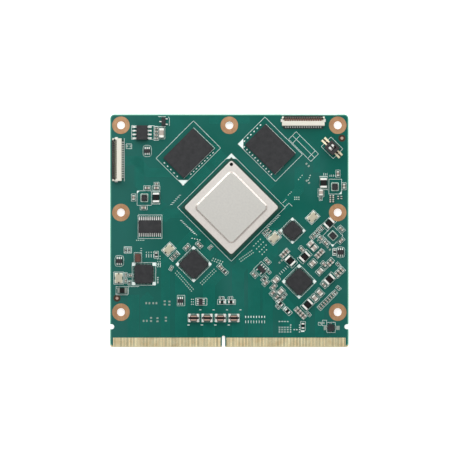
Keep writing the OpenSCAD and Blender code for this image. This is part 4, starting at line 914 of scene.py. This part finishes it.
# Empty places for small parts, as pairs of lands: x, y, turn
EMPTY_PLACES = [
    (26.9, 22.6, -45), (27, 16.8, -45), (-34.5, 29, 0), (-28, -24.9, 0), (-25.6, -24.9, 0), (-22.2, -24.8, 90),
    (-28.9, -31, 0), (-26.9, -30.5, 90), (-24.7, -30.6, 90), (-21.8, -30.4, 90), (-20.6, -24.9, 90),
    (17.6, -10.6, 45), (30.8, -3.7, -45), (34.2, -6.1, -45), (31.9, -31.7, 0),
]
# Bundles of covered copper lines: path in millimetres, count and pitch
BUNDLES = [
    ([(4.4, -5), (4.4, -12), (3, -13.4), (3, -36.4)], 12, 0.35),
    ([(10, -2), (10, -8), (8.5, -9.5), (8.5, -36.4)], 12, 0.35),
    ([(15, 1), (15, -7.5), (13.2, -9.3), (13.2, -36.4)], 10, 0.35),
    ([(-2, -7), (-2, -13), (-7, -18), (-7, -36.4)], 12, 0.35),
    ([(-6, -3), (-6, -6), (-16.5, -16.5), (-16.5, -36.4)], 12, 0.35),
    ([(-10, 1), (-19, -8), (-22, -11), (-22, -36.4)], 8, 0.4),
    ([(-12, 6), (-21, 6), (-23, 4)], 8, 0.4), ([(-13, 22), (-5, 14)], 16, 0.45),
    ([(-7, 28), (-1, 22)], 12, 0.45), ([(7, 22), (1, 16)], 12, 0.45), ([(14, 18), (9, 13)], 14, 0.4),
    ([(-23, 8), (-31, 16), (-31, 24), (-37, 24)], 8, 0.4), ([(18, 8), (24, 14), (24, 22)], 8, 0.4),
    ([(-33, -22), (-33, -36.4)], 10, 0.4), ([(-27, -22), (-29, -24), (-29, -36.4)], 8, 0.4),
    ([(22, 34), (30, 26), (30, 20)], 6, 0.4), ([(18, -24), (20.5, -26.5), (20.5, -36.4)], 10, 0.4),
    ([(26, -24), (26, -36.4)], 8, 0.4), ([(31, -25), (31, -36.4)], 8, 0.4),
    ([(-20, 20), (-28, 20), (-33, 25)], 8, 0.4), ([(-7, 38), (7, 38)], 6, 0.4),
]


class BuildFinishes(bpy.types.Operator):
    """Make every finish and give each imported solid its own"""

    bl_idname = "module.finishes"
    bl_label = "Finishes"

    def execute(self, context):
        make_finishes(context.scene)
        make_shapes()
        for node, slot in SLOTS.items():
            mesh = NODES[node].data
            mesh.materials.clear()
            mesh.materials.append(FINISHES["warm_land" if node == "fiducial_marks" else slot])
        return {"FINISHED"}


class BuildTraces(bpy.types.Operator):
    """Lay the copper lines that show under the mask"""

    bl_idname = "module.traces"
    bl_label = "Traces"

    def execute(self, context):
        board = context.scene.module_board
        height = DECK + board.trace_rise / 2
        paths = []
        for path, count, pitch in BUNDLES:
            for number in range(count):
                paths.append((beside(path, (number - (count - 1) / 2) * pitch, height), False))
        lines("covered_traces", paths, board.trace_width, board.trace_rise, "covered_copper",
              slot="solder_mask")
        return {"FINISHED"}


def beside(path, offset, height):
    """Path in metres that runs beside a path in millimetres, with its corners kept parallel"""
    points = [Vector(p) for p in path]
    result = []
    for i, point in enumerate(points):
        before = (point - points[i - 1]).normalized() if i else None
        after = (points[i + 1] - point).normalized() if i + 1 < len(points) else None
        first, second = before or after, after or before
        side = Vector((-first.y - second.y, first.x + second.x)).normalized()
        reach = offset / max(side.dot(Vector((-first.y, first.x))), 0.3)
        moved = point + side * reach
        result.append((moved.x * MM, moved.y * MM, height))
    return result


class BuildPrint(bpy.types.Operator):
    """Print the outlines, corner marks and ticks on the board"""

    bl_idname = "module.print"
    bl_label = "Print"

    def execute(self, context):
        ink = context.scene.module_print
        height = DECK + ink.rise / 2
        slot = "slide_plastic"
        boxes = [(box_path(*box, height), True) for box in PRINTED_BOXES]
        runs = [([(x * MM, y * MM, height) for x, y in run], False) for run in PRINTED_LINES]
        lines("printed_outlines", boxes + runs, ink.line, ink.rise, "print_ink", slot=slot)
        rounded = [(box_path(*box, height), True) for box in ROUNDED_BOXES]
        lines("rounded_outlines", rounded, ink.fine_line, ink.rise, "print_ink", corner=0.9, slot=slot)
        frames = []
        for node, past_long, past_wide in (("small_capacitors", 0.7, 0.6), ("medium_capacitors", 0.9, 0.7),
                                           ("large_capacitors", 0.9, 0.7), ("small_resistors", 0.7, 0.6),
                                           ("medium_resistors", 0.9, 0.7), ("diodes", 1.2, 0.8),
                                           ("inductor_cores", 1.6, 0.7), ("ferrite_bead", 1.0, 0.8),
                                           ("choke_cores", 0.6, 0.9)):
            boxes = [plan_box(solid) for solid in solids_of(node)]
            for box in boxes:
                if any(0 < (other["at"] - box["at"]).length < 1.2 * box["wide"] + 0.5 * MM for other in boxes):
                    continue
                frames.append((box_path(box["at"].x / MM, box["at"].y / MM, box["long"] / MM + past_long,
                                        box["wide"] / MM + past_wide, math.degrees(box["turn"]), height),
                               True))
        lines("printed_frames", frames, ink.fine_line, ink.rise, "print_ink", slot=slot)
        corners = [list(outline) for outline in PRINTED_CORNERS]
        for x, y, long, wide, turn, size in FILLED_FRAMES:
            c, s = math.cos(math.radians(turn)), math.sin(math.radians(turn))
            for u, v in ((-1, -1), (1, -1), (1, 1), (-1, 1)):
                near_l, near_w = long - size, wide - size
                local = [(u * near_l, v * near_w), (u * near_l, v * wide), (u * long, v * wide),
                         (u * long, v * near_w)]
                corners.append([(x + a * c - b * s, y + a * s + b * c) for a, b in local])
        plates("printed_corners", corners, DECK, ink.rise, "print_ink")
        marks("printed_ticks", spots(PRINTED_TICKS, DECK, ink.rise), "print_ink")
        return {"FINISHED"}


class BuildLands(bpy.types.Operator):
    """Plate the bare lands and the empty places"""

    bl_idname = "module.lands"
    bl_label = "Bare lands"

    def execute(self, context):
        rise = 0.02 * MM
        marks("bare_lands", spots(BARE_LANDS, DECK, rise), "bright_land")
        places = spots(DULL_LANDS, DECK, rise)
        for x, y, turn in EMPTY_PLACES:
            c, s = math.cos(math.radians(turn)), math.sin(math.radians(turn))
            for side in (-1, 1):
                u = side * 0.55
                places.append((((x + u * c) * MM, (y + u * s) * MM, DECK + rise / 2),
                               (0.55 * MM, 0.7 * MM, rise), math.radians(turn)))
        marks("empty_places", places, "dull_land")
        ring, rise = 2.5 * MM, 0.01 * MM
        pits = [(Vector((box["at"].x, box["at"].y, DECK + rise / 2)), (ring, ring, rise), 0)
                for box in map(plan_box, solids_of("fiducial_marks"))]
        marks("fiducial_pits", pits, "pit", round_marks=True)
        return {"FINISHED"}


class BuildChips(bpy.types.Operator):
    """Grow the chip parts with plated ends where their solids stand"""

    bl_idname = "module.chips"
    bl_label = "Chip parts"

    def execute(self, context):
        chips = context.scene.module_chips
        brown = Vector((*BROWN_PLACE, 0)) * MM
        sets = (("small_capacitors", "capacitor_ceramic", "chip_end", False),
                ("medium_capacitors", "capacitor_ceramic", "chip_end", False),
                ("large_capacitors", "pale_ceramic", "bright_end", False),
                ("small_resistors", "resistor_glass", "chip_end", False),
                ("medium_resistors", "resistor_glass", "chip_end", False),
                ("diodes", "ferrite", "bright_tin", False), ("ferrite_bead", "ferrite", "chip_solder", False),
                ("underside_capacitors", "capacitor_ceramic", "chip_end", True))
        for node, body_finish, end_finish, under in sets:
            sizes = {}
            for solid in solids_of(node):
                box = plan_box(solid)
                key = tuple(round(box[k], 5) for k in ("long", "wide", "high"))
                at = box["at"] + Vector((0, 0, box["high"] if under else 0))
                is_brown = (at.xy - brown.xy).length < 0.5 * MM
                sizes.setdefault((*key, is_brown), []).append((at, (1, 1, 1), box["turn"]))
            for number, ((long, wide, high, is_brown), places) in enumerate(sorted(sizes.items()), 1):
                looks = ("brown_ceramic", "brown_ceramic") if is_brown else (body_finish, end_finish)
                name = f"{node}_set_{number}"
                grown(name, cloud(name, places), "chips", {
                    "Length": long, "Width": wide, "Height": high, "End": long * chips.end_share,
                    "Edge": chips.edge, "Flare": chips.flare, "Over": math.pi if under else 0.0,
                    "Body finish": FINISHES[looks[0]], "End finish": FINISHES[looks[1]],
                    "Solder finish": FINISHES["chip_solder"]})
            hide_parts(node)
        return {"FINISHED"}


class BuildSolder(bpy.types.Operator):
    """Let solder rise round the foot of each lead and terminal"""

    bl_idname = "module.solder"
    bl_label = "Solder"

    def execute(self, context):
        solder = context.scene.module_solder
        joints = {"solder_joints": ("bright_tin", []), "socket_joints": ("chip_solder", []),
                  "switch_joints": ("cream_tin", [])}
        for node, past_long, past_wide in (
                ("small_chip_leads", 1, 0.5), ("wide_chip_leads", 3, -0.2), ("eight_lead_leads", 1, 1),
                ("flat_package_terminals", 0.5, 0), ("converter_terminals", 1, 0.2),
                ("inductor_terminals", 1, 1), ("choke_terminals", 1, 0.5), ("switch_leads", 2, 1),
                ("side_socket_contacts", 0.5, 0), ("top_socket_contacts", 0.5, 0),
                ("side_socket_anchors", 0.5, 0.5), ("top_socket_anchors", 0.5, 0.5)):
            for solid in solids_of(node):
                low = min(p.z for p in solid)
                foot = plan_box([p for p in solid if p.z < low + 0.01 * MM])
                at = Vector((foot["at"].x, foot["at"].y, DECK))
                family = node.split("_")[1] if "socket" in node else node.split("_")[0]
                _, places = joints.get(f"{family}_joints", joints["solder_joints"])
                places.append((at, (foot["long"] + 2 * past_long * solder.flare,
                                    foot["wide"] + 2 * past_wide * solder.flare, solder.rise), foot["turn"]))
        for name, (finish_name, places) in joints.items():
            grown(name, cloud(name, places), "joints", {"Top share": 0.8, "Finish": FINISHES[finish_name]})
        return {"FINISHED"}


class BuildPackages(bpy.types.Operator):
    """Round the edges of the moulded packages, coils and crystals"""

    bl_idname = "module.packages"
    bl_label = "Packages"

    def execute(self, context):
        packages = context.scene.module_packages
        for node, finish_name in (
                ("left_memory", "mould_compound"), ("right_memory", "mould_compound"),
                ("flash_package", "mould_compound"), ("eight_lead_body", "mould_compound"),
                ("wide_chip_body", "mould_compound"), ("small_chip_bodies", "mould_compound"),
                ("centre_flat_package", "mould_compound"), ("left_flat_package", "mould_compound"),
                ("lower_flat_package", "mould_compound"), ("right_flat_package", "mould_compound"),
                ("corner_flat_package", "mould_compound"), ("converter_bodies", "mould_compound"),
                ("inductor_cores", "ferrite"), ("inductor_terminals", "bright_tin"), ("choke_cores", "ferrite"),
                ("choke_terminals", "bright_tin"), ("crystal_bases", "crystal_ceramic"),
                ("crystal_lids", "crystal_lid")):
            softened(node, f"{node}_shell", packages.edge, finish_name, packages.steps)
        self.crystal_pads()
        self.converter_frames()
        self.winding_bands()
        return {"FINISHED"}

    def converter_frames(self):
        """Bright land that frames each converter"""
        past, width, rise = 0.6, 0.3 * MM, 0.015 * MM
        frames = []
        for solid in solids_of("converter_bodies"):
            box = plan_box(solid)
            frames.append((box_path(box["at"].x / MM, box["at"].y / MM, box["long"] / MM + past,
                                    box["wide"] / MM + past, math.degrees(box["turn"]), DECK + rise / 2),
                           True))
        lines("converter_frames", frames, width, rise, "bright_land", slot="tin")

    def winding_bands(self):
        """Wound wire that shows on the top of each choke, along both edges of its core"""
        long, wide, rise = 2.1 * MM, 0.45 * MM, 0.012 * MM
        bands = []
        for solid in solids_of("choke_cores"):
            box = plan_box(solid)
            top = box["at"].z + box["high"] + rise / 2
            for side in (-1, 1):
                reach = side * (box["wide"] - wide) / 2
                bands.append((Vector((box["at"].x, box["at"].y + reach, top)), (long, wide, rise), 0))
        marks("winding_bands", bands, "warm_land")

    def crystal_pads(self):
        """Bright pads past the corners of each crystal, and dark gaps halfway along its ends"""
        reach, pad, gap = 0.2 * MM, 1.25 * MM, (0.3 * MM, 0.55 * MM, 0.008 * MM)
        pads, gaps = [], []
        for solid in solids_of("crystal_bases"):
            box = plan_box(solid)
            c, s = math.cos(box["turn"]), math.sin(box["turn"])
            for side in (-1, 1):
                u = side * (box["long"] - gap[0]) / 2
                top = DECK + box["high"] + (box["at"].z - DECK) + gap[2] / 2
                gaps.append((Vector((box["at"].x + u * c, box["at"].y + u * s, top)), gap, box["turn"]))
                for other in (-1, 1):
                    u = side * (box["long"] / 2 + reach - pad / 2)
                    v = other * (box["wide"] / 2 + reach - pad / 2)
                    spot = Vector((box["at"].x + u * c - v * s, box["at"].y + u * s + v * c, DECK))
                    pads.append((spot, (pad, pad, 0.2 * MM), box["turn"]))
        grown("crystal_pads", cloud("crystal_pads", pads), "joints",
              {"Top share": 0.9, "Finish": FINISHES["bright_tin"]})
        marks("crystal_gaps", gaps, "pit")


class BuildProcessor(bpy.types.Operator):
    """Stamp the lid with soft shoulders and mark its first corner"""

    bl_idname = "module.processor"
    bl_label = "Processor"

    def execute(self, context):
        lid = context.scene.module_lid
        stamped = softened("processor_lid", "stamped_lid", lid.shoulder, "lid_metal", 4).data
        low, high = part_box("processor_lid")
        rim_top = low.z + lid.rim_height
        stamped.materials.append(FINISHES["lid_rim"])
        stamped.materials.append(FINISHES["lid_slope"])
        level = 0.97
        for face in stamped.polygons:
            if face.center.z < rim_top + 0.02 * MM:
                face.material_index = 1
            elif face.normal.z < level:
                face.material_index = 2
        inset = 1.15 * MM
        ink = 0.008 * MM
        spot = ((low.x + high.x) / 2, high.y - inset, rim_top + ink / 2)
        marks("first_pin_dot", [(spot, (lid.dot, lid.dot, ink), 0)], "dark_ink", round_marks=True)
        return {"FINISHED"}


class BuildSockets(bpy.types.Operator):
    """Round the edges of the two cable connectors"""

    bl_idname = "module.sockets"
    bl_label = "Cable connectors"

    def execute(self, context):
        edge = context.scene.module_packages.edge
        for side, body in (("side", "side_flap"), ("top", "top_flap")):
            softened(f"{side}_socket_housing", f"{side}_housing_shell", edge / 2, "socket_plastic", 1)
            softened(f"{side}_socket_flap", f"{side}_flap_shell", edge / 2, "flap_plastic", 1, body)
            low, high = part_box(f"{side}_socket_housing")
            mesh = NODES[f"{side}_socket_contacts"].data
            mesh.materials.clear()
            mesh.materials.append(FINISHES[f"{side}_contact"])
            mesh.materials.append(FINISHES["chip_end"])
            mesh.materials.append(FINISHES["flap_plastic"])
            tips_low, tips_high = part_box(f"{side}_socket_flap")
            tip = 0.9 * MM
            for face in mesh.polygons:
                at = face.center
                inside = low.x < at.x < high.x and low.y < at.y < high.y
                tipped = at.x < tips_low.x + tip if side == "side" else at.y > tips_high.y - tip
                face.material_index = 2 if tipped else 0 if inside else 1
        # Painted shadow: dark strips on the board under the contact tails of both connectors and under the leads
        # of the wide chip, where the housings and bodies shade the board
        width, rise = 1.3 * MM, 0.015 * MM
        low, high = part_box("side_socket_housing")
        side_strip = (Vector((high.x + width / 4, (low.y + high.y) / 2, DECK + rise / 2)),
                      (width, (high.y - low.y) * 0.94, rise), 0)
        low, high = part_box("top_socket_housing")
        top_strip = (Vector(((low.x + high.x) / 2, low.y - width / 4, DECK + rise / 2)),
                     ((high.x - low.x) * 0.94, width, rise), 0)
        body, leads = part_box("wide_chip_body"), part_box("wide_chip_leads")
        strips = [side_strip, top_strip]
        for near, far in ((body[1].y, leads[1].y), (body[0].y, leads[0].y)):
            middle = Vector(((body[0].x + body[1].x) / 2, (near + far) / 2, DECK + rise / 2))
            strips.append((middle, (body[1].x - body[0].x, abs(far - near) + 0.4 * MM, rise), 0))
        marks("painted_tail_shade", strips, "well")
        return {"FINISHED"}


class BuildSwitch(bpy.types.Operator):
    """Round the edges of the selector switch and its slides"""

    bl_idname = "module.switch"
    bl_label = "Selector switch"

    def execute(self, context):
        edge = context.scene.module_packages.edge
        softened("switch_cover", "switch_cover_shell", edge, "switch_plastic")
        softened("switch_base", "switch_base_shell", edge / 2, "switch_plastic", 1)
        softened("switch_slide_1", "slide_1_shell", edge, "slide_plastic", 2, "first_slide")
        softened("switch_slide_2", "slide_2_shell", edge, "slide_plastic", 2, "second_slide")
        mesh = NODES["switch_leads"].data
        mesh.materials.clear()
        mesh.materials.append(FINISHES["cream_tin"])
        self.painted_lead_shade()
        return {"FINISHED"}

    def painted_lead_shade(self):
        """Painted shade: dark marks on the board between the two leads of each end"""
        rise = 0.015 * MM
        leads = sorted(map(plan_box, solids_of("switch_leads")), key=lambda box: box["at"].x)
        gaps = []
        for first, second in (leads[:2], leads[2:]):
            middle = (first["at"] + second["at"]) / 2
            across = (first["at"] - second["at"]).length
            gaps.append((Vector((middle.x, middle.y, DECK + rise / 2)), (first["long"], across, rise),
                         first["turn"]))
        marks("painted_lead_shade", gaps, "pit")


class BuildStage(bpy.types.Operator):
    """Set the floor, the soft lights and the camera straight above"""

    bl_idname = "module.stage"
    bl_label = "Stage"

    def execute(self, context):
        stage = context.scene.module_stage
        context.scene.view_settings.view_transform = "Standard"
        self.floor(context, stage)
        self.sky(context, stage)
        self.lights(context, stage)
        self.camera(context, stage)
        return {"FINISHED"}

    def floor(self, context, stage):
        mesh = bpy.data.meshes.new("floor")
        half, wall = 3.0, 0.35
        around = ((-half, -half), (half, -half), (half, half), (-half, half))
        walls = [(i, i + 4, (i + 1) % 4 + 4, (i + 1) % 4) for i in range(4)]
        mesh.from_pydata([(x, y, z) for z in (0, wall) for x, y in around], [], [(0, 1, 2, 3), *walls])
        floor = bpy.data.objects.new("floor", mesh)
        context.scene.collection.objects.link(floor)
        made = bpy.data.materials.new("pale_floor")
        made.use_nodes = True
        tree = made.node_tree
        tree.nodes.clear()
        place = add(tree, "ShaderNodeTexCoord").outputs["Object"]
        tone = use(tree, "tone", {"Vector": place, "Scale": 3.0, "Colour": with_alpha(stage.floor),
                                  "Second colour": with_alpha((0.88, 0.88, 0.88)), "Amount": 0.3})
        matt = add(tree, "ShaderNodeBsdfDiffuse", {"Color": tone["Colour"]})
        glow = add(tree, "ShaderNodeEmission", {"Color": (1, 1, 1, 1), "Strength": 0.72})
        both = add(tree, "ShaderNodeAddShader", {0: matt.outputs[0], 1: glow.outputs[0]})
        rays = add(tree, "ShaderNodeLightPath").outputs
        mirrored = maths(tree, "MAXIMUM", rays["Is Glossy Ray"], rays["Is Transmission Ray"])
        seen = maths(tree, "MAXIMUM", rays["Is Camera Ray"], mirrored)
        choice = add(tree, "ShaderNodeMixShader", {0: seen, 1: matt.outputs[0], 2: both.outputs[0]})
        end = add(tree, "ShaderNodeOutputMaterial")
        tree.links.new(choice.outputs[0], end.inputs[0])
        mesh.materials.append(made)

    def sky(self, context, stage):
        world = bpy.data.worlds.new("soft_sky")
        context.scene.world = world
        world.use_nodes = True
        tree = world.node_tree
        tree.nodes.clear()
        even = add(tree, "ShaderNodeBackground", {"Color": (1, 1, 1, 1), "Strength": stage.sky})
        end = add(tree, "ShaderNodeOutputWorld")
        tree.links.new(even.outputs[0], end.inputs[0])

    def lights(self, context, stage):
        for name, azimuth, elevation, power, size in (
                ("far_light", 100, 52, stage.key_power, 0.4), ("left_rake", 132, 15, stage.rake_power, 0.3),
                ("right_rake", 48, 15, stage.rake_power, 0.3), ("near_light", 265, 42, stage.fill_power, 0.35)):
            data = bpy.data.lights.new(name, "AREA")
            data.energy = power
            data.size = size
            lamp = bpy.data.objects.new(name, data)
            a, e = math.radians(azimuth), math.radians(elevation)
            away = Vector((math.cos(a) * math.cos(e), math.sin(a) * math.cos(e), math.sin(e)))
            lamp.location = away * stage.light_distance
            lamp.rotation_euler = away.to_track_quat("Z", "Y").to_euler()
            context.scene.collection.objects.link(lamp)

    def camera(self, context, stage):
        data = bpy.data.cameras.new("camera")
        eye = bpy.data.objects.new("camera", data)
        width = PHOTO_SIZE / PX_PER_MM * MM
        data.sensor_width = 36
        data.lens = data.sensor_width * stage.camera_height / width
        data.clip_end = 10
        middle = PHOTO_SIZE / 2
        eye.location = ((middle - BOARD_CENTRE_PX[0]) / PX_PER_MM * MM,
                        (BOARD_CENTRE_PX[1] - middle) / PX_PER_MM * MM, DECK + stage.camera_height)
        context.scene.collection.objects.link(eye)
        context.scene.camera = eye


OPERATORS = (BuildFinishes, BuildTraces, BuildPrint, BuildLands, BuildChips, BuildSolder, BuildPackages,
             BuildProcessor, BuildSockets, BuildSwitch, BuildStage)


class ModulePanel(bpy.types.Panel):
    """Steps that dress the module, in their order"""

    bl_idname = "VIEW3D_PT_module"
    bl_label = "Module"
    bl_space_type = "VIEW_3D"
    bl_region_type = "UI"
    bl_category = "Module"

    def draw(self, context):
        for operator in OPERATORS:
            self.layout.operator(operator.bl_idname)
        for name, group in GROUPS.items():
            box = self.layout.box()
            for key in group.__annotations__:
                box.prop(getattr(context.scene, name), key)


def register():
    for group in GROUPS.values():
        bpy.utils.register_class(group)
    for name, group in GROUPS.items():
        setattr(bpy.types.Scene, name, PointerProperty(type=group))
    for cls in (*OPERATORS, ModulePanel):
        bpy.utils.register_class(cls)


def unregister():
    for cls in (ModulePanel, *reversed(OPERATORS)):
        bpy.utils.unregister_class(cls)
    for name, group in reversed(GROUPS.items()):
        delattr(bpy.types.Scene, name)
        bpy.utils.unregister_class(group)


def main():
    register()
    for operator in OPERATORS:
        family, step = operator.bl_idname.split(".")
        getattr(getattr(bpy.ops, family), step)()


if __name__ == "__main__":
    main()
